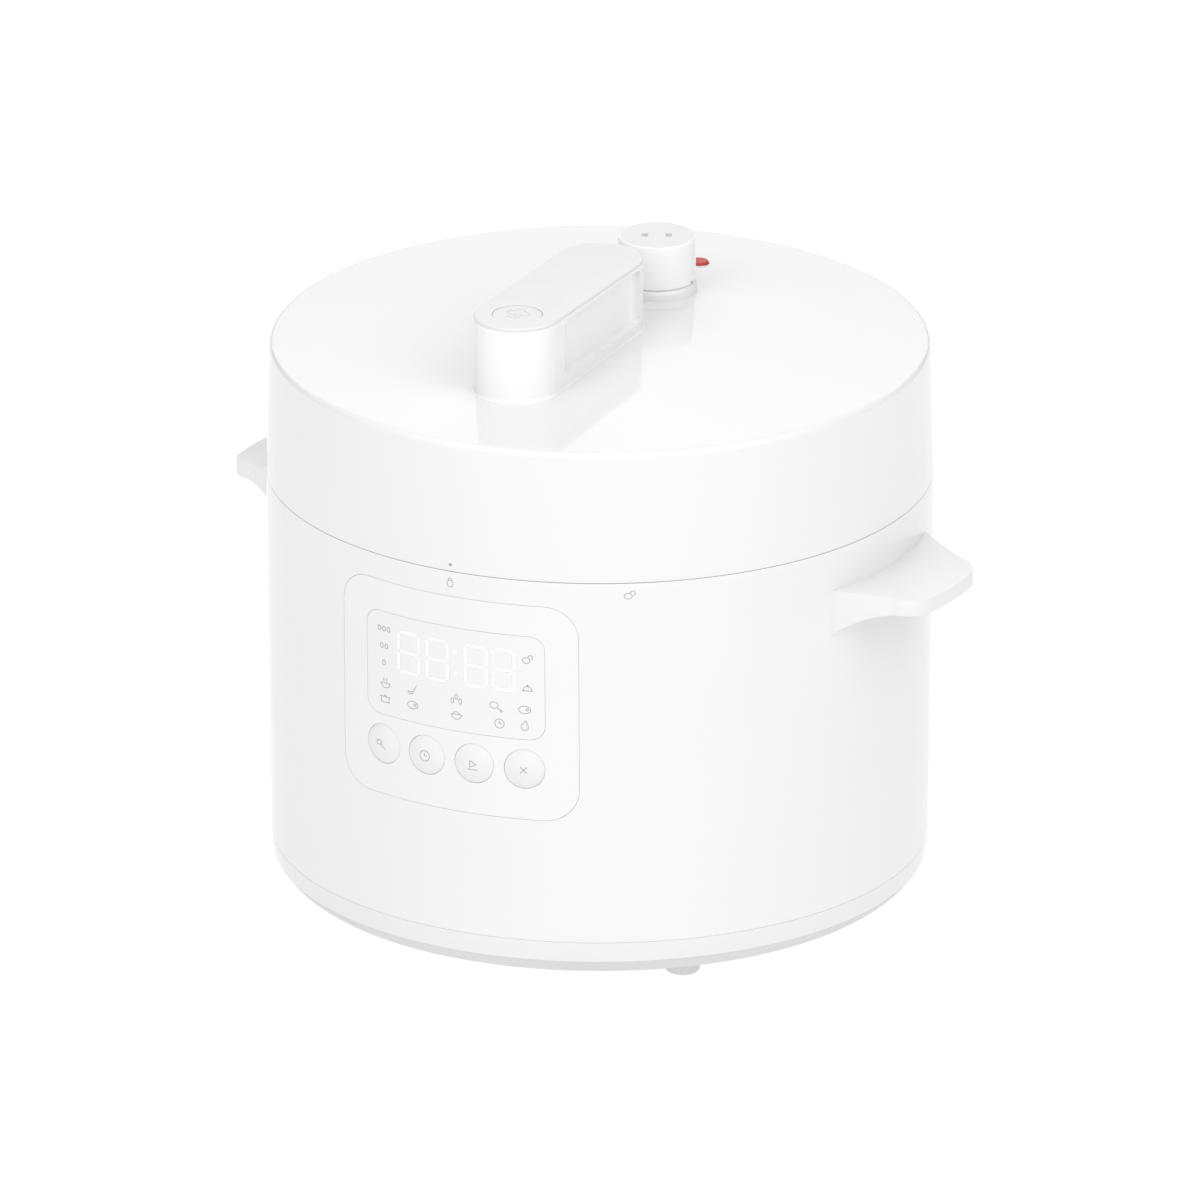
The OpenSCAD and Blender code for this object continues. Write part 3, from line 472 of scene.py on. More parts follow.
RED = plastic("red_silicone", (0.50, 0.035, 0.022), 0.02, (0.3, 0.45), 1500, 0.15, 0.03)
SILICONE = plastic("clear_silicone", (0.60, 0.62, 0.61), 0.02, (0.35, 0.5), 1200, 0.15, 0.04, 0.4)
SLEEVE = plastic("wire_sleeve", (0.66, 0.65, 0.62), 0.03, (0.45, 0.6), 1800, 0.2, 0.04)
COATING = plastic("pot_coating", (0.055, 0.055, 0.060), 0.02, (0.34, 0.5), 2400, 0.35, 0.05)
BOARD = plastic("circuit_board", (0.018, 0.115, 0.045), 0.02, (0.25, 0.45), 700, 0.3, 0.05)
STEEL = metal("stainless_steel", (0.60, 0.61, 0.62), 0.03, (0.22, 0.34), 300, (1, 1, 14), 0.10)
SPUN_STEEL = metal("spun_steel", (0.66, 0.67, 0.68), 0.02, (0.16, 0.26), 500, (1, 1, 10), 0.06)
ALUMINIUM = metal("cast_aluminium", (0.56, 0.57, 0.58), 0.04, (0.4, 0.55), 900, (1, 1, 1), 0.35)
BRASS = metal("brass", (0.72, 0.50, 0.20), 0.03, (0.2, 0.3), 600, (1, 8, 1), 0.10)
DIGIT_GLOW = glowing("lit_segment", grey(0.86), 0.13)
DIGIT_HALO = glowing("segment_halo", grey(0.86), 0.08, 0.5)

# ---- the CAD nodes that stay ----

SLOT_MATERIALS = {
    "white_plastic": INNER_WHITE,
    "panel_plastic": PANEL_WHITE,
    "matte_white": MATTE_WHITE,
    "stainless_steel": STEEL,
    "aluminium": ALUMINIUM,
    "pot_coating": COATING,
    "circuit_board": BOARD,
    "black_plastic": BLACK,
    "brass": BRASS,
    "clear_silicone": SILICONE,
    "red_float": RED,
    "display": WINDOW_WHITE,
    "wire_sleeve": SLEEVE,
}
NODE_MATERIALS = {"metal_lid": SPUN_STEEL, "drip_cup": WHITE, "upper_collar": WHITE}


def smoothing_nodes():
    """Geometry nodes that shade a mesh smooth but keep edges over 30 degrees sharp."""
    group = bpy.data.node_groups.new("smooth_by_angle", "GeometryNodeTree")
    group.interface.new_socket("Geometry", in_out="INPUT", socket_type="NodeSocketGeometry")
    group.interface.new_socket("Geometry", in_out="OUTPUT", socket_type="NodeSocketGeometry")
    entry = group.nodes.new("NodeGroupInput")
    leave = group.nodes.new("NodeGroupOutput")
    faces = group.nodes.new("GeometryNodeSetShadeSmooth")
    edges = group.nodes.new("GeometryNodeSetShadeSmooth")
    edges.domain = "EDGE"
    edges.inputs["Shade Smooth"].default_value = False
    angle = group.nodes.new("GeometryNodeInputMeshEdgeAngle")
    steep = group.nodes.new("FunctionNodeCompare")
    steep.data_type = "FLOAT"
    steep.operation = "GREATER_THAN"
    steep.inputs["B"].default_value = math.radians(30)
    group.links.new(entry.outputs[0], faces.inputs["Geometry"])
    group.links.new(faces.outputs[0], edges.inputs["Geometry"])
    group.links.new(angle.outputs["Unsigned Angle"], steep.inputs["A"])
    group.links.new(steep.outputs["Result"], edges.inputs["Selection"])
    group.links.new(edges.outputs[0], leave.inputs[0])
    return group


def dress_nodes():
    """Each CAD node gets its material and smooth shading. Its mesh isn't changed."""
    group = smoothing_nodes()
    for subpart in frame["record"]["subparts"]:
        name = subpart["node"]
        node = NODES[name]
        material = NODE_MATERIALS.get(name, SLOT_MATERIALS[subpart["material_slot"]])
        if not node.material_slots:
            node.data.materials.append(material)
        for slot in node.material_slots:
            slot.material = material
        weld = node.modifiers.new("weld", "WELD")
        weld.merge_threshold = 0.001 * MM
        smooth = node.modifiers.new("smooth", "NODES")
        smooth.node_group = group


# ---- housing ----

def make_housing():
    """The housing's wall, with openings for the panel, the condensate cup and the mains inlet."""
    low = BASE_SEAM_Z - 0.1
    high = HOUSING_HIGH.z
    outline = rounded([
        (wall_r(low) - WALL, low, 0.3),
        (wall_r(low), low, 0.15),
        (wall_r(high), high, 0.3),
        (wall_r(high) - WALL, high, 0.3),
    ])
    housing = lathe("housing_skin", with_steps(outline, 4), turns=360)
    half = PANEL_W / 2
    shape = rectangle(-half, PANEL_Z0, half, PANEL_Z1, PANEL_CORNER)
    panel_hole = prism("panel_hole", shape, CUT_NEAR, CUT_FAR, TO_FRONT)
    cup_low, cup_high = node_box("drip_cup")
    gap = 0.3
    shape = rectangle(cup_low.x - gap, cup_low.z - gap, cup_high.x + gap, cup_high.z + gap, radius=2)
    cup_hole = prism("cup_hole", shape, -CUT_FAR, -CUT_NEAR, TO_FRONT)
    shape = rectangle(-INLET_HALF, INLET_Z0, INLET_HALF, INLET_Z1, radius=1)
    inlet_hole = prism("inlet_hole", shape, -CUT_FAR, -CUT_NEAR, TO_FRONT)
    carve(housing, [panel_hole, cup_hole, inlet_hole])
    place(housing, "base", WHITE, "white_plastic", ["outer_housing"])


def wall_sector(name, inset_out, inset_in, z0, z1, half_angle):
    """A slice of the housing wall round the front, fine enough to be cut cleanly."""
    outline = with_steps([
        Vector((wall_r(z0) - inset_in, z0)),
        Vector((wall_r(z0) - inset_out, z0)),
        Vector((wall_r(z1) - inset_out, z1)),
        Vector((wall_r(z1) - inset_in, z1)),
    ], longest=2.5)
    return lathe(name, outline, turns=96, start=270 - half_angle, sweep=2 * half_angle)


def key_turn(angle):
    """The place of a push button: +Z points out of the panel."""
    turn = Matrix.Rotation(math.radians(angle), 4, "Z")
    return turn @ Matrix.Translation((0, -wall_r(KEY_Z), KEY_Z)) @ TO_FRONT


KEY_NODES = ["button_taste", "button_timer", "button_start", "button_cancel"]
KEY_ANGLES = [(i - 1.5) * KEY_PITCH for i in range(4)]


def make_panel():
    """The control panel with its openings, and the display pane that fills one of them."""
    margin = 3
    half = PANEL_W / 2 - PANEL_GAP
    panel = wall_sector("panel_skin", 0, PANEL_T, PANEL_Z0 - margin, PANEL_Z1 + margin, half_angle=27)
    shape = rectangle(-half, PANEL_Z0 + PANEL_GAP, half, PANEL_Z1 - PANEL_GAP, PANEL_CORNER - PANEL_GAP)
    carve(panel, [prism("panel_shape", shape, CUT_NEAR, CUT_FAR, TO_FRONT)], "INTERSECT")
    half = WINDOW_W / 2
    window_hole = rectangle(-half, WINDOW_Z0, half, WINDOW_Z1, WINDOW_CORNER)
    cutters = [prism("window_hole", window_hole, CUT_NEAR, CUT_FAR, TO_FRONT)]
    for angle in KEY_ANGLES:
        cutters.append(prism("key_hole", circle(KEY_R + KEY_GAP), -12, 12, key_turn(angle)))
    carve(panel, cutters)
    place(panel, "base", PANEL_WHITE, "panel_plastic", ["control_panel"])

    half = WINDOW_W / 2 - PANEL_GAP
    window = wall_sector("display_pane", 0, PANE_T, WINDOW_Z0 - margin, WINDOW_Z1 + margin, half_angle=20)
    shape = rectangle(-half, WINDOW_Z0 + PANEL_GAP, half, WINDOW_Z1 - PANEL_GAP, WINDOW_CORNER - PANEL_GAP)
    carve(window, [prism("pane_shape", shape, CUT_NEAR, CUT_FAR, TO_FRONT)], "INTERSECT")
    place(window, "base", WINDOW_WHITE, "display", ["display_window"])


def key_dome_z(r):
    """The height of a push button's domed top at a distance from its middle."""
    sphere_r = (KEY_R ** 2 + KEY_DOME ** 2) / (2 * KEY_DOME)
    return KEY_PROUD - sphere_r + math.sqrt(sphere_r ** 2 - r * r)


def make_keys():
    """The four push buttons: a flange behind the panel, a straight side and a domed top."""
    rows = 15
    edge_r = KEY_R - 0.3
    crown = []
    for i in range(rows + 1):
        r = edge_r * (1 - i / rows)
        crown.append((r, key_dome_z(r)))
    edge_z = key_dome_z(edge_r)
    flange_r = KEY_R + 1.5
    flange_bottom = -6.3
    flange_top = -5
    side = [(0, flange_bottom), (flange_r, flange_bottom), (flange_r, flange_top), (KEY_R, flange_top),
            (KEY_R, edge_z - 0.35), (KEY_R - 0.08, edge_z - 0.12)]
    outline = [Vector(p) for p in side + crown]
    to_metres = Matrix.Diagonal((MM, MM, MM, 1))
    to_mm = Matrix.Diagonal((1 / MM, 1 / MM, 1 / MM, 1))
    for node, angle in zip(KEY_NODES, KEY_ANGLES):
        key = lathe(node + "_cap", outline, turns=96)
        key.data.transform(to_metres @ key_turn(angle) @ to_mm)
        place(key, node, KEY_WHITE, "panel_plastic", [node])


# ---- lid ----

def lid_outline():
    """The lid cover's cross section: outside from the skirt up over the dome, then back down inside."""
    skirt = HOUSING_HIGH.z + 0.25
    rows = 36
    fillet_rows = 12
    # The fillet ends a little before its top, where it meets the dome's slope.
    fillet_end = 87.75
    side = [(SEAM_R - LID_WALL, skirt, 0.3), (SEAM_R, skirt, 0.3), (RIM_R + 0.001, RIM_Z, 0)]
    outline = rounded(side)[:-1]
    outline += arc(DOME_EDGE_R, RIM_Z, RIM_FILLET, RIM_FILLET, 0, fillet_end, fillet_rows)
    for i in range(1, rows + 1):
        r = DOME_EDGE_R * (1 - i / rows)
        outline.append(Vector((r, dome_z(r))))
    for i in range(rows + 1):
        r = (DOME_EDGE_R - 1) * i / rows
        outline.append(Vector((r, dome_z(r) - LID_WALL)))
    outline.append(Vector((RIM_R - LID_WALL, RIM_Z - 1)))
    return outline


def stadium(radius, y0, y1, count=48):
    """A closed bar outline with round ends, from y0 to y1."""
    return arc(0, y1, radius, radius, 0, 180, count) + arc(0, y0, radius, radius, 180, 360, count)


def make_lid():
    """The lid cover, with shallow seats for the handle and the valve's collar, and two through holes."""
    side_gap = 0.04
    deep = 0.05
    lid = lathe("lid_skin", with_steps(lid_outline(), 5), turns=288)
    seats = [
        ("seat", stadium(HANDLE_R + HANDLE_FLARE + side_gap, -HANDLE_REACH, 0), HANDLE_LOW.z - deep),
        ("collar_seat", at((0, VALVE_Y), circle(COLLAR_R + side_gap)), COLLAR_LOW.z - deep),
        ("valve_hole", at((0, VALVE_Y), circle(VALVE_HOLE_R)), LID_CUT_LOW),
        ("float_hole", at((0, FLOAT_Y), circle(FLOAT_HOLE_R)), LID_CUT_LOW),
    ]
    carve(lid, [prism(name, outline, low, LID_CUT_HIGH) for name, outline, low in seats])
    place(lid, "lid", LID_WHITE, "white_plastic", ["lid_cover"])


def loft(name, rings, crease=30):
    """A closed skin over rings with the same number of points, with flat ends."""
    count = len(rings[0])
    points = [p for ring in rings for p in ring]
    faces = [list(range(count)), [len(points) - count + i for i in range(count)]]
    for level in range(len(rings) - 1):
        for i in range(count):
            a = level * count + i
            b = level * count + (i + 1) % count
            faces.append([a, b, b + count, a + count])
    return make_piece(name, points, faces, crease)


def bar_rings(levels):
    """Rings of the lid handle's plan for (inset, height or rise above the dome) levels."""
    rings = []
    for inset, z, on_dome in levels:
        ring = []
        for p in stadium(HANDLE_R - inset, -HANDLE_REACH, 0):
            ground = dome_z(math.hypot(p.x, p.y)) if on_dome else 0
            ring.append(Vector((p.x, p.y, ground + z)))
        rings.append(ring)
    return rings


def grip_cutter(side):
    """The finger recess in one side of the lid handle, blended into the front pillar."""
    ramp = 8
    ramp_steps = 12
    back_r = 2.5
    y_front = -68.5
    y_back = 2.0
    outside = 24
    inner = HANDLE_R - GRIP_DEPTH
    plan = [Vector((outside, y_front))]
    for i in range(ramp_steps + 1):
        t = i / ramp_steps
        plan.append(Vector((HANDLE_R + 0.05 - GRIP_DEPTH * t * t * (3 - 2 * t), y_front + ramp * t)))
    plan += arc(inner + back_r, y_back - back_r, back_r, back_r, 180, 90, 8)
    plan.append(Vector((outside, y_back)))
    plan = [Vector((side * p.x, p.y)) for p in plan]
    margin = 5
    cutter = prism("grip", with_steps(plan, 3), GRIP_Z0 - margin, GRIP_Z1 + margin)
    across = Matrix.Rotation(math.pi / 2, 4, "Z") @ TO_FRONT
    shape = rectangle(y_front, GRIP_Z0, y_back + 1, GRIP_Z1, radius=3.6)
    window = prism("grip_window", shape, -30, 30, across)
    return carve(cutter, [window], "INTERSECT")


HANDLE_BODY_TOP = CAP_HIGH.z - HANDLE_CAP_T - HANDLE_CAP_GAP
HANDLE_BREAK = 0.12


def make_handle_body():
    """The lid handle's hollow body, flared onto the dome, with a finger recess in each side."""
    cove_steps = 8
    cove_rise = 1.9
    side_steps = 12
    side_z = 251.5
    side_top = HANDLE_BODY_TOP - HANDLE_BREAK
    levels = [(-HANDLE_FLARE, HANDLE_LOW.z, False)]
    for i in range(cove_steps + 1):
        angle = math.radians(90 * i / cove_steps)
        rise = 0.05 + cove_rise * (1 - math.cos(angle))
        levels.append((-HANDLE_FLARE * (1 - math.sin(angle)), rise, True))
    levels += [(0, side_z + i * (side_top - side_z) / side_steps, False) for i in range(side_steps + 1)]
    levels += [(HANDLE_BREAK, HANDLE_BODY_TOP, False)]
    handle = loft("handle_body", bar_rings(levels))
    carve(handle, [grip_cutter(side) for side in (-1, 1)])
    core = prism("core", stadium(11.5, -HANDLE_REACH, 0), HANDLE_LOW.z - 1, HANDLE_CUT_TOP)
    carve(handle, [core])
    # The handle's lighter plastic is painted light.
    place(handle, "lid", LIT_HANDLE_WHITE, "white_plastic", ["lid_handle"])


def make_handle_top():
    """The cap of the lid handle above its parting line, with a hole for the steam release button."""
    edge = 0.6
    edge_steps = 6
    bottom = HANDLE_BODY_TOP + HANDLE_CAP_GAP
    levels = [
        (HANDLE_BREAK, bottom, False),
        (0, HANDLE_BODY_TOP + HANDLE_CAP_GAP + HANDLE_BREAK, False),
        (0, CAP_HIGH.z - edge, False),
    ]
    for i in range(1, edge_steps + 1):
        angle = math.radians(90 / edge_steps * i)
        levels.append((edge * (1 - math.cos(angle)), CAP_HIGH.z - edge + edge * math.sin(angle), False))
    cap = loft("handle_top", bar_rings(levels))
    shape = at((0, -HANDLE_REACH), circle(RELEASE_R + 0.2))
    hole = prism("button_hole", shape, CAP_LOW.z - 3, HANDLE_CUT_TOP)
    carve(cap, [hole])
    place(cap, "lid", MATTE_WHITE, "matte_white", ["handle_cap"])


def make_release_button():
    """The steam release button: a round cap on a thin stem."""
    low, high = node_box("release_button")
    stem_r = 3
    cap_z = high.z - 4.2
    outline = rounded([(0, low.z, 0), (stem_r, low.z, 0.2), (stem_r, cap_z, 0), (RELEASE_R, cap_z, 0.2),
                       (RELEASE_R, high.z, 0.35), (0, high.z, 0)])
    button = lathe("release_cap", outline, centre=(0, -HANDLE_REACH), turns=96)
    place(button, "release_button", MATTE_WHITE, "matte_white", ["release_button"])


def knob_slots():
    """Cutters for the two short slots in the knob's top."""
    turn = Matrix.Translation((0, VALVE_Y, 0)) @ Matrix.Rotation(math.radians(27), 4, "Z")
    top = KNOB_HIGH.z
    depth = 3
    half_x, half_y = 1.4, 2.1
    slots = []
    for middle in (-5, 5):
        shape = rectangle(middle - half_x, -half_y, middle + half_x, half_y, radius=1.2, steps=6)
        slots.append(prism("slot", shape, top - depth, top + depth, turn))
    return slots


def knob_vents():
    """Cutters for four half-round vents in the knob's lower edge."""
    vents = []
    for quarter in range(2):
        turn = Matrix.Translation((0, VALVE_Y, KNOB_LOW.z)) @ Matrix.Rotation(quarter * math.pi / 2, 4, "Z")
        vents.append(prism("vent", circle(1.3, 32), -50, 50, turn @ Matrix.Rotation(math.pi / 2, 4, "Y")))
    return vents


def make_knob():
    """The limit valve's knob: a cup with a separate face let into its top."""
    bottom, top = KNOB_LOW.z, KNOB_HIGH.z
    rim = 0.6
    bore_r = 9.1
    floor, roof = top - 1, top - 4
    outline = rounded([
        (bore_r, bottom, 0.2), (KNOB_R + 0.4, bottom, 0.35), (KNOB_R, top, rim), (KNOB_R - rim, top, 0),
        (KNOB_R - rim, floor, 0), (0, floor, 0), (0, roof, 0), (bore_r, roof, 0),
    ])
    knob = lathe("valve_knob", with_steps(outline, 3), centre=(0, VALVE_Y), turns=144)
    face_r = KNOB_R - rim - 0.01
    face_z = top - 0.98
    ring_r = 4.1
    ring_half, ring_rise = 0.35, 0.22
    outline = [Vector((0, face_z)), Vector((face_r, face_z)), Vector((face_r, top))]
    outline += arc(ring_r, top, ring_half, ring_rise, 0, 180, 8)
    outline.append(Vector((0, top)))
    face = lathe("valve_face", with_steps(outline, 3), centre=(0, VALVE_Y), turns=144)
    carve(face, knob_slots())
    carve(knob, knob_slots() + knob_vents())
    # The knob's lighter plastic is painted light.
    place(knob, "limit_valve", LIT_HANDLE_WHITE, "white_plastic", ["limit_valve"])
    place(face, "limit_valve", MATTE_WHITE, "matte_white")


def make_collar():
    """The ring round the knob's foot, with a rounded outer edge."""
    bead = 2.2
    low, high = COLLAR_LOW.z, KNOB_LOW.z - 0.12
    outline = [Vector((VALVE_HOLE_R, low)), Vector((COLLAR_R, low))]
    outline += arc(COLLAR_R - bead, high - bead, bead, bead, 0, 90, 16)
    outline.append(Vector((VALVE_HOLE_R, high)))
    collar = lathe("valve_ring", outline, centre=(0, VALVE_Y), turns=144)
    place(collar, "lid", WHITE, "white_plastic", ["valve_collar"])


# ---- side handles and feet ----

def grip_plan():
    """A side handle from above: root, hollow flanks, round corners and a bowed tip."""
    bow, corner_r, corner_v = 124, 12.3, 16
    root_u, root_v, flank = 131.5, 41.3, 420
    centre_u = SIDE_TIP - bow
    corner_u = centre_u + math.sqrt((bow - corner_r) ** 2 - corner_v ** 2)
    run = Vector((corner_u - root_u, corner_v + corner_r - root_v))
    middle = Vector(((corner_u + root_u) / 2, (corner_v + corner_r + root_v) / 2))
    normal = Vector((-run.y, run.x)).normalized()
    hollow = middle + normal * math.sqrt(flank ** 2 - (run.length / 2) ** 2)
    start = math.degrees(math.atan2(root_v - hollow.y, root_u - hollow.x))
    end = math.degrees(math.atan2(corner_v + corner_r - hollow.y, corner_u - hollow.x))
    meet = math.degrees(math.atan2(corner_v, corner_u - centre_u))
    half = arc(hollow.x, hollow.y, flank, flank, start, end, 24)
    half += arc(corner_u, corner_v, corner_r, corner_r, 90, meet, 12)[1:]
    half += arc(centre_u, 0, bow, bow, meet, 0, 12)[1:]
    return half + [Vector((p.x, -p.y)) for p in reversed(half[:-1])]


def grip_side():
    """A side handle from the side: a sloping top and an arched underside, as (distance out, height)."""
    root_z, tip_z, tip_t = 168.7, 163.6, 6.4
    root_u, inside_u, past = 131, 120, 10
    arch_u, arch_r = 160, 40.7
    slope = (root_z - tip_z) / (SIDE_TIP - root_u)
    under = tip_z - tip_t
    outline = [Vector((inside_u, root_z + slope * (root_u - inside_u))), Vector((inside_u, SIDE_UNDER_Z))]
    centre_z = under + 0.6 - arch_r
    first = math.degrees(math.asin((SIDE_UNDER_Z - centre_z) / arch_r))
    outline += arc(arch_u, centre_z, arch_r, arch_r, 180 - first, 90, 32)
    outline += [Vector((SIDE_TIP + past, under)), Vector((SIDE_TIP + past, tip_z - slope * past))]
    return outline


def make_side_handles():
    """Both side handles: the plan and the side outline crossed, softened, and cut to fit the housing."""
    low, high = 130, 190
    sunk = 0.02
    space = [Vector((0, low)), Vector((wall_r(low) - sunk, low)), Vector((wall_r(high) - sunk, high)),
             Vector((0, high))]
    for name, node, angle in SIDE_HANDLES:
        grip = prism(name, grip_plan(), 140, 185)
        carve(grip, [prism("profile", grip_side(), -100, 100, TO_FRONT)], "INTERSECT")
        soften(grip, width=1.1, angle=40, rows=4)
        carve(grip, [lathe("body_space", space, turns=360)])
        grip.data.transform(Matrix.Rotation(math.radians(angle), 4, "Z"))
        place(grip, "base", GRIP_WHITE, "white_plastic", [node])


SPIGOT_R = BASE_R - WALL - 0.3
SPIGOT_INNER_R = SPIGOT_R - 2


def make_base_band():
    """The band of the base cover under the housing, with a spigot that stands inside the housing."""
    seam = BASE_SEAM_Z - BASE_GAP / 2
    spigot_z = BASE_SEAM_Z + 4
    outline = rounded([
        (CHAMFER_R, CHAMFER_Z, 0.2), (BASE_R, seam, 0.15), (SPIGOT_R, seam, 0), (SPIGOT_R, spigot_z, 0.3),
        (SPIGOT_INNER_R, spigot_z, 0.3), (SPIGOT_INNER_R, CHAMFER_Z, 0),
    ])
    band = lathe("base_band", with_steps(outline, 6), turns=288)
    carve(band, [prism("inlet_notch", rectangle(-20, 120, 20, 150), seam + BASE_GAP, 40)])
    place(band, "base", BASE_WHITE, "white_plastic", ["base_cover"])


def make_base_underside():
    """The base cover's chamfer and underside, with air slots and screw wells, darker with painted shade."""
    parting = CHAMFER_Z - 0.02
    inside_z = BOTTOM_Z + 2.5
    outline = rounded([
        (0, BOTTOM_Z, 0), (BOTTOM_R, BOTTOM_Z, 3.0), (BOTTOM_R + 3.6, BOTTOM_Z + 2.9, 3.0),
        (CHAMFER_R - 0.02, parting, 0.2), (SPIGOT_INNER_R, parting, 0), (BOTTOM_R - 1, inside_z, 0),
        (0, inside_z, 0),
    ])
    base = lathe("base_underside", with_steps(outline, 6), turns=288)
    slot_pitch, slot_half_w, slot_half_l, slot_y = 9, 1.5, 14, 35
    shapes = []
    for i in range(-3, 4):
        for y in (-slot_y, slot_y):
            x = slot_pitch * i
            shapes.append(rectangle(x - slot_half_w, y - slot_half_l, x + slot_half_w, y + slot_half_l,
                                    radius=1.4, steps=6))
    for angle in POST_ANGLES:
        shapes.append(at(ring_place(POST_RING_R, angle), circle(5, 48)))
    carve(base, [prism("opening", shape, 0, 20) for shape in shapes])
    # The darker plastic here is painted shade.
    place(base, "base", SHADED_UNDER_WHITE, "white_plastic")


def make_base_posts():
    """The three posts of the base cover that carry the outer pot."""
    bore_r, post_r, low, high = 1.95, 5.98, 13, 45.8
    tube = [Vector((bore_r, low)), Vector((post_r, low)), Vector((post_r, high)), Vector((bore_r, high))]
    posts = []
    for i, angle in enumerate(POST_ANGLES):
        posts.append(lathe(f"base_post_{i}", tube, centre=ring_place(POST_RING_R, angle), turns=48))
    posts = join(posts[0], posts[1:])
    posts.name = "base_posts"
    place(posts, "base", INNER_WHITE, "white_plastic")


def make_feet():
    """Four round feet, each with a peg that goes into the base cover, darker with painted shade."""
    taper = 0.8
    peg_r, peg_rise = 3, 3.5
    top = BOTTOM_Z - 0.05
    outline = rounded([
        (0, 0, 0), (FOOT_R - 2 * taper, 0, 0), (FOOT_R - taper, taper, taper), (FOOT_R, top, 0),
        (peg_r, top, 0), (peg_r, top + peg_rise, 0), (0, top + peg_rise, 0),
    ])
    feet = []
    for i, angle in enumerate(FOOT_ANGLES):
        feet.append(lathe(f"foot_{i}", outline, centre=ring_place(FOOT_RING_R, angle), turns=64))
    pads = join(feet[0], feet[1:])
    pads.name = "foot_pads"
    place(pads, "base", SHADED_UNDER_WHITE, "white_plastic", ["feet"])


# ---- printed marks ----

def line(*points):
    """Points of a straight or bent line."""
    return [Vector(p) for p in points]


# Each drawing is a list of strokes in millimetres, round its own middle.

def lock_closed():
    return [arc(0, -0.5, 1.25, 1.25), arc(0, 0.75, 0.75, 0.95, 0, 180)]


def lock_open():
    return [arc(-0.5, -0.5, 1.25, 1.1), arc(0.9, 0.55, 0.75, 0.9, -60, 190)]


def cloche():
    return [arc(0, -0.7, 1.5, 1.5, 0, 180), line((-2, -0.9), (2, -0.9)), arc(0, 1.15, 0.2, 0.2)]


def dots(count):
    return [arc((i - (count - 1) / 2) * 2.0, 0, 0.62, 0.9) for i in range(count)]


def bowl():
    return [arc(0, 0.2, 1.9, 1.8, 180, 360), line((-2.2, 0.2), (2.2, 0.2))]


def steam(x=0.0):
    return [line((x, 0.8), (x + 0.25, 1.2), (x, 1.6), (x + 0.25, 2.0))]


def soup():
    return bowl() + steam(-0.8) + steam(0.5)


def ladle():
    bowl_rim = line((-2.0, -0.9), (0.2, -0.9))
    return [arc(-0.9, -0.9, 1.1, 0.9, 180, 360), bowl_rim, line((0.2, -0.9), (1.6, 1.8))]


def grains():
    return [arc(0, 0.9, 0.55, 1.0), arc(-1.5, -0.6, 0.55, 1.0), arc(1.5, -0.6, 0.55, 1.0)]


def drumstick():
    return [arc(-0.6, 0.4, 1.5, 1.2), line((0.5, -0.4), (1.8, -1.5)), arc(2.0, -1.6, 0.35, 0.35)]


def cutlet():
    return [arc(0, 0, 2.1, 1.4), arc(0.9, 0.1, 0.45, 0.4)]


def stew_pot():
    return [line((-1.7, 0.5), (-1.7, -1.5), (1.7, -1.5), (1.7, 0.5)), line((-2.3, 0.5), (2.3, 0.5)),
            arc(0, 0.6, 0.5, 0.6, 0, 180)]


def porridge():
    return bowl() + [arc(0, 0.3, 1.2, 0.9, 0, 180)]


def clock(radius=1.7):
    return [arc(0, 0, radius, radius), line((0, radius * 0.6), (0, 0), (radius * 0.45, 0))]


def flame():
    return [arc(0, -0.4, 1.2, 1.3, 150, 390) + line((0.4, 1.9), (-1.04, 0.25))]


def spoon():
    return [arc(-1.2, 0.9, 1.3, 1.0), line((-0.2, 0.1), (2.3, -1.9))]


def play():
    return [line((-1.2, 1.7), (1.6, 0.2), (-1.2, -1.3), (-1.2, 1.7)), line((-2.2, -2.3), (2.2, -2.3))]


def cross():
    return [line((-1.5, 1.5), (1.5, -1.5)), line((-1.5, -1.5), (1.5, 1.5))]


def steam_cloud():
    """A cloud of three bumps with a flat base, over three slanting lines."""
    bumps = [(Vector((-3.0, -0.1)), 2.0), (Vector((-0.4, 1.6)), 2.7), (Vector((2.8, 0.1)), 2.2)]
    floor = -2.1
    outline = []
    for ray in circle(1, 90):
        reach = 0
        for centre, radius in bumps:
            along = centre.dot(ray)
            inside = along ** 2 - centre.length_squared + radius ** 2
            if inside > 0:
                reach = max(reach, along + math.sqrt(inside))
        if ray.y < 0 and bumps[0][0].x < ray.x * floor / ray.y < bumps[2][0].x:
            reach = floor / ray.y
        outline.append(ray * reach)
    shift = Vector((0, 1.4))
    cloud = [p + shift for p in outline + outline[:1]]
    return [cloud] + [line((x, -2.0), (x - 1.3, -5.2)) for x in (-1.7, 0.5, 2.7)]


def slab(points, widths, spot, depth):
    """A thin closed ribbon through flat points, carried onto a surface by spot(u, v, lift)."""
    sunk = -0.02
    closed = (points[0] - points[-1]).length < 1e-6
    path = points[:-1] if closed else points
    count = len(path)
    corners = []
    for i, here in enumerate(path):
        before = path[i - 1] if closed or i else here
        after = path[(i + 1) % count] if closed or i < count - 1 else here
        back = (here - before).normalized() if before != here else (after - here).normalized()
        ahead = (after - here).normalized() if after != here else back
        along = (back + ahead).normalized() if (back + ahead).length > 1e-6 else ahead
        side = Vector((-along.y, along.x))
        stretch = min(2.0, 1 / max(0.3, along.dot(ahead)))
        half = (widths[i] if isinstance(widths, list) else widths) / 2 * stretch
        for sign, lift in ((1, sunk), (1, depth), (-1, depth), (-1, sunk)):
            flat = here + side * sign * half
            corners.append(spot(flat.x, flat.y, lift))
    faces = []
    for i in range(count if closed else count - 1):
        a, b = 4 * i, 4 * ((i + 1) % count)
        faces += [[a + k, a + (k + 1) % 4, b + (k + 1) % 4, b + k] for k in range(4)]
    if not closed:
        faces += [[0, 1, 2, 3], [4 * count - 4 + k for k in (3, 2, 1, 0)]]
    return corners, faces


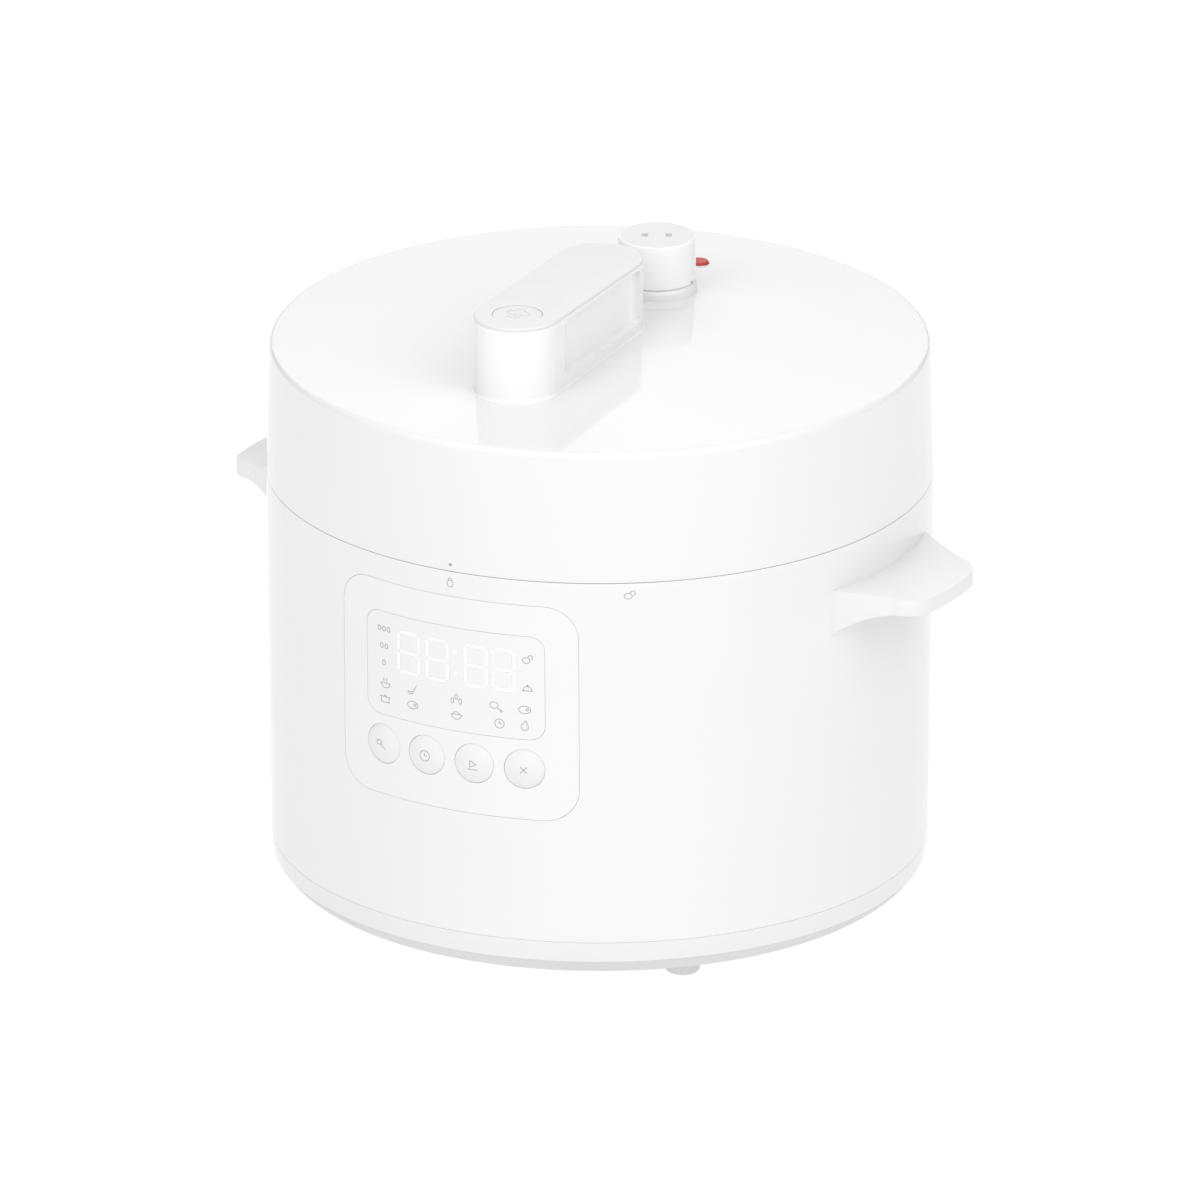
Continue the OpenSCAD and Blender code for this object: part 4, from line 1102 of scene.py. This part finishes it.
def fine(points, longest=0.8):
    """An open line with its long sides split, so that it follows a curved wall."""
    result = []
    for a, b in zip(points, points[1:]):
        count = max(1, math.ceil((b - a).length / longest))
        result += [a.lerp(b, k / count) for k in range(count)]
    return result + [points[-1]]


def make_marks(name, drawings, body, material, slot, width=0.34, depth=0.05):
    """One printed piece from several (icon, spot) drawings."""
    points, faces = [], []
    for strokes, spot in drawings:
        for stroke in strokes:
            corners, sides = slab(fine(stroke), width, spot, depth)
            faces += [[i + len(points) for i in side] for side in sides]
            points += corners
    piece = make_piece(name, points, faces)
    return place(piece, body, material, slot)


def on_wall(x0, z0, size=1.0, radius=wall_r):
    """A function that puts flat points round (x0, z0) on the front of the housing or lid."""
    def spot(u, v, lift):
        z = z0 + v * size
        r = radius(z)
        x = x0 + u * size
        y = -math.sqrt(r * r - x * x)
        return Vector((x * (r + lift) / r, y * (r + lift) / r, z))
    return spot


def on_key(angle):
    """A function that puts flat points on a push button's dome."""
    def spot(u, v, lift):
        return key_turn(angle) @ Vector((u, v, key_dome_z(math.hypot(u, v)) + lift))
    return spot


def on_button():
    """A function that puts flat points on the steam release button's top."""
    top = node_box("release_button")[1].z

    def spot(u, v, lift):
        return Vector((u, v - HANDLE_REACH, top + lift))
    return spot


def make_dot(name, radius, height, spot, body, material, slot):
    """A round printed dot at a spot on the front."""
    dot = lathe(name, disc(radius, height), turns=32)
    dot.data.transform(Matrix.Translation(spot * MM) @ TO_FRONT)
    place(dot, body, material, slot)


def make_prints():
    """The pictograms on the window and on every button, and the marks at the lid's seam."""
    labels = [
        (dots(3), -32.3, 153.7),
        (dots(2), -32.3, 146.0),
        (dots(1), -32.4, 138.6),
        (soup(), -31.7, 129.3),
        (ladle(), -17.7, 129.9),
        (grains(), 3.2, 129.5),
        (drumstick(), 20.8, 128.9),
        (cutlet(), 33.1, 128.6),
        (stew_pot(), -31.9, 122.7),
        (cutlet(), -17.7, 122.9),
        (porridge(), 3.2, 122.5),
        (clock(), 22.4, 121.4),
        (flame(), 33.1, 121.4),
        (lock_open(), 34.4, 151.3),
        (cloche(), 34.3, 138.2),
    ]
    drawings = [(icon, on_wall(x, z, size=1.2)) for icon, x, z in labels]
    make_marks("window_prints", drawings, "base", PRINT_GREY, "display", width=0.27)
    drawings = [
        (lock_closed(), on_wall(0.7, 181.3, size=1.15)),
        (lock_open(), on_wall(73.7, 181.1, size=1.15)),
    ]
    make_marks("lock_prints", drawings, "base", PRINT_GREY, "white_plastic", width=0.24)
    spot = on_wall(0.8, 189.2, radius=lid_r)(0, 0, 0)
    make_dot("lid_dot", 0.7, 0.05, spot, "lid", PRINT_GREY, "white_plastic")
    for node, angle, icon in zip(KEY_NODES, KEY_ANGLES, (spoon(), clock(2.3), play(), cross())):
        make_marks(node + "_icon", [(icon, on_key(angle))], node, PRINT_GREY, "panel_plastic", width=0.32)
    drawings = [(steam_cloud(), on_button())]
    make_marks("steam_icon", drawings, "release_button", PRINT_GREY, "matte_white", width=0.16)


def segment(a, b, width):
    """A display segment with pointed ends, as points and widths."""
    tip_width = 0.25
    points = fine([Vector(a), Vector(b)], 0.7)
    widths = []
    for p in points:
        gap = min((p - points[0]).length, (p - points[-1]).length)
        widths.append(min(width, tip_width + 2 * gap))
    return points, widths


def make_segments(name, width, depth, material):
    """Every segment of the four digits as one piece."""
    gap = 0.8
    points, faces = [], []

    def add(a, b, x0):
        path, widths = segment(a, b, width)
        corners, sides = slab(path, widths, on_wall(x0, DIGIT_Z), depth)
        faces.extend([[i + len(points) for i in side] for side in sides])
        points.extend(corners)

    for x0, wide in DIGITS:
        for z in (0, DIGIT_TALL / 2, DIGIT_TALL):
            add((gap, z), (wide - gap, z), x0)
        for x in (0, wide):
            for z in (0, DIGIT_TALL / 2):
                add((x, z + gap), (x, z + DIGIT_TALL / 2 - gap), x0)
    place(make_piece(name, points, faces), "base", material, "display")


def make_digits():
    """A clock display with every segment lit, each a bright core in a soft halo, and its two dots."""
    make_segments("segment_halos", width=2.1, depth=0.03, material=DIGIT_HALO)
    make_segments("segment_cores", width=1.3, depth=0.06, material=DIGIT_GLOW)
    for i, z in enumerate((140.9, 150.7)):
        make_dot(f"clock_dot_{i}", 0.95, 0.06, on_wall(2.9, z)(0, 0, 0), "base", DIGIT_GLOW, "display")


# ---- camera, light and floor ----

def direction(azimuth, elevation):
    """A unit vector to a point on the sky: azimuth 0 is the front, 90 the right side."""
    a, e = math.radians(azimuth), math.radians(elevation)
    return Vector((math.sin(a) * math.cos(e), -math.cos(a) * math.cos(e), math.sin(e)))


def make_camera():
    data = bpy.data.cameras.new("camera")
    data.lens = CAMERA_LENS
    data.sensor_width = 36
    data.clip_end = 100
    camera = bpy.data.objects.new("camera", data)
    back = direction(CAMERA_AZIMUTH, CAMERA_ELEVATION)
    camera.location = Vector((0, 0, CAMERA_TARGET_Z)) + back * CAMERA_DISTANCE
    camera.rotation_euler = (-back).to_track_quat("-Z", "Y").to_euler()
    bpy.context.scene.collection.objects.link(camera)
    bpy.context.scene.camera = camera


def make_softbox(name, turn, elevation, width, height, radiance):
    """A rectangular light that faces the object, turned about it from the camera's side."""
    data = bpy.data.lights.new(name, "AREA")
    data.shape = "RECTANGLE"
    data.size = width
    data.size_y = height
    data.energy = radiance * math.pi * width * height
    light = bpy.data.objects.new(name, data)
    away = direction(CAMERA_AZIMUTH + turn, elevation)
    light.location = Vector((0, 0, LIGHT_TARGET_Z)) + away * SOFTBOX_DISTANCE
    light.rotation_euler = (-away).to_track_quat("-Z", "Y").to_euler()
    bpy.context.scene.collection.objects.link(light)


def make_world(zenith, front, back):
    """A pale studio, with a strength for the sky overhead, on the camera's side and behind the object."""
    world = bpy.data.worlds.new("studio")
    world.use_nodes = True
    nodes, links = world.node_tree.nodes, world.node_tree.links
    glow = nodes["Background"]
    glow.inputs["Color"].default_value = (1, 1, 1, 1)
    where = nodes.new("ShaderNodeTexCoord").outputs["Generated"]
    ahead = direction(CAMERA_AZIMUTH, 0)
    facing = nodes.new("ShaderNodeVectorMath")
    facing.operation = "DOT_PRODUCT"
    facing.inputs[1].default_value = ahead
    links.new(where, facing.inputs[0])
    sides = remap(nodes, links, facing.outputs["Value"], -0.3, 0.5, back, front, "SMOOTHSTEP")
    split = nodes.new("ShaderNodeSeparateXYZ")
    links.new(where, split.inputs[0])
    above = remap(nodes, links, split.outputs["Z"], 0.25, 0.95, curve="SMOOTHSTEP")
    blend = nodes.new("ShaderNodeMix")
    blend.data_type = "FLOAT"
    blend.inputs["B"].default_value = zenith
    links.new(above, blend.inputs["Factor"])
    links.new(sides, blend.inputs["A"])
    links.new(blend.outputs["Result"], glow.inputs["Strength"])
    bpy.context.scene.world = world


def make_floor():
    """A white floor that gives off light, with a painted shadow under the object, where its glow fades to
    dark.
    """
    half = 12000
    shadow_inner_r, shadow_outer_r, strength = 0.070, 0.103, 0.97
    corners = [(-half, -half, 0), (half, -half, 0), (half, half, 0), (-half, half, 0)]
    floor = make_piece("floor", corners, [[0, 1, 2, 3]])
    material, nodes, links, shader, where = new_material("studio_floor")
    cloud = noise(nodes, links, where, 2, 2)
    links.new(tint(nodes, links, cloud, grey(0.07), grey(0.08)), shader.inputs["Base Color"])
    shader.inputs["Roughness"].default_value = 0.9
    shader.inputs["Specular IOR Level"].default_value = 0.0
    shader.inputs["Emission Color"].default_value = (1, 1, 1, 1)
    away = nodes.new("ShaderNodeVectorMath")
    away.operation = "LENGTH"
    links.new(where, away.inputs[0])
    # The glow fades out under the object: a painted contact shadow.
    glow = remap(nodes, links, away.outputs["Value"], shadow_inner_r, shadow_outer_r, 0.0, strength)
    links.new(glow, shader.inputs["Emission Strength"])
    floor.data.materials.append(material)


make_camera()
dress_nodes()
make_housing()
make_panel()
make_keys()
make_lid()
make_handle_body()
make_handle_top()
make_release_button()
make_knob()
make_collar()
make_side_handles()
make_base_band()
make_base_underside()
make_base_posts()
make_feet()
make_prints()
make_digits()
make_floor()
make_world(zenith=1.0, front=1.04, back=0.12)
make_softbox("left_softbox", turn=-42, elevation=44, width=1.2, height=1.6, radiance=1.9)
make_softbox("right_softbox", turn=46, elevation=42, width=1.3, height=1.7, radiance=1.9)
make_softbox("back_softbox", turn=180, elevation=24, width=2.8, height=1.6, radiance=1.05)
bpy.context.scene.view_settings.view_transform = "Standard"
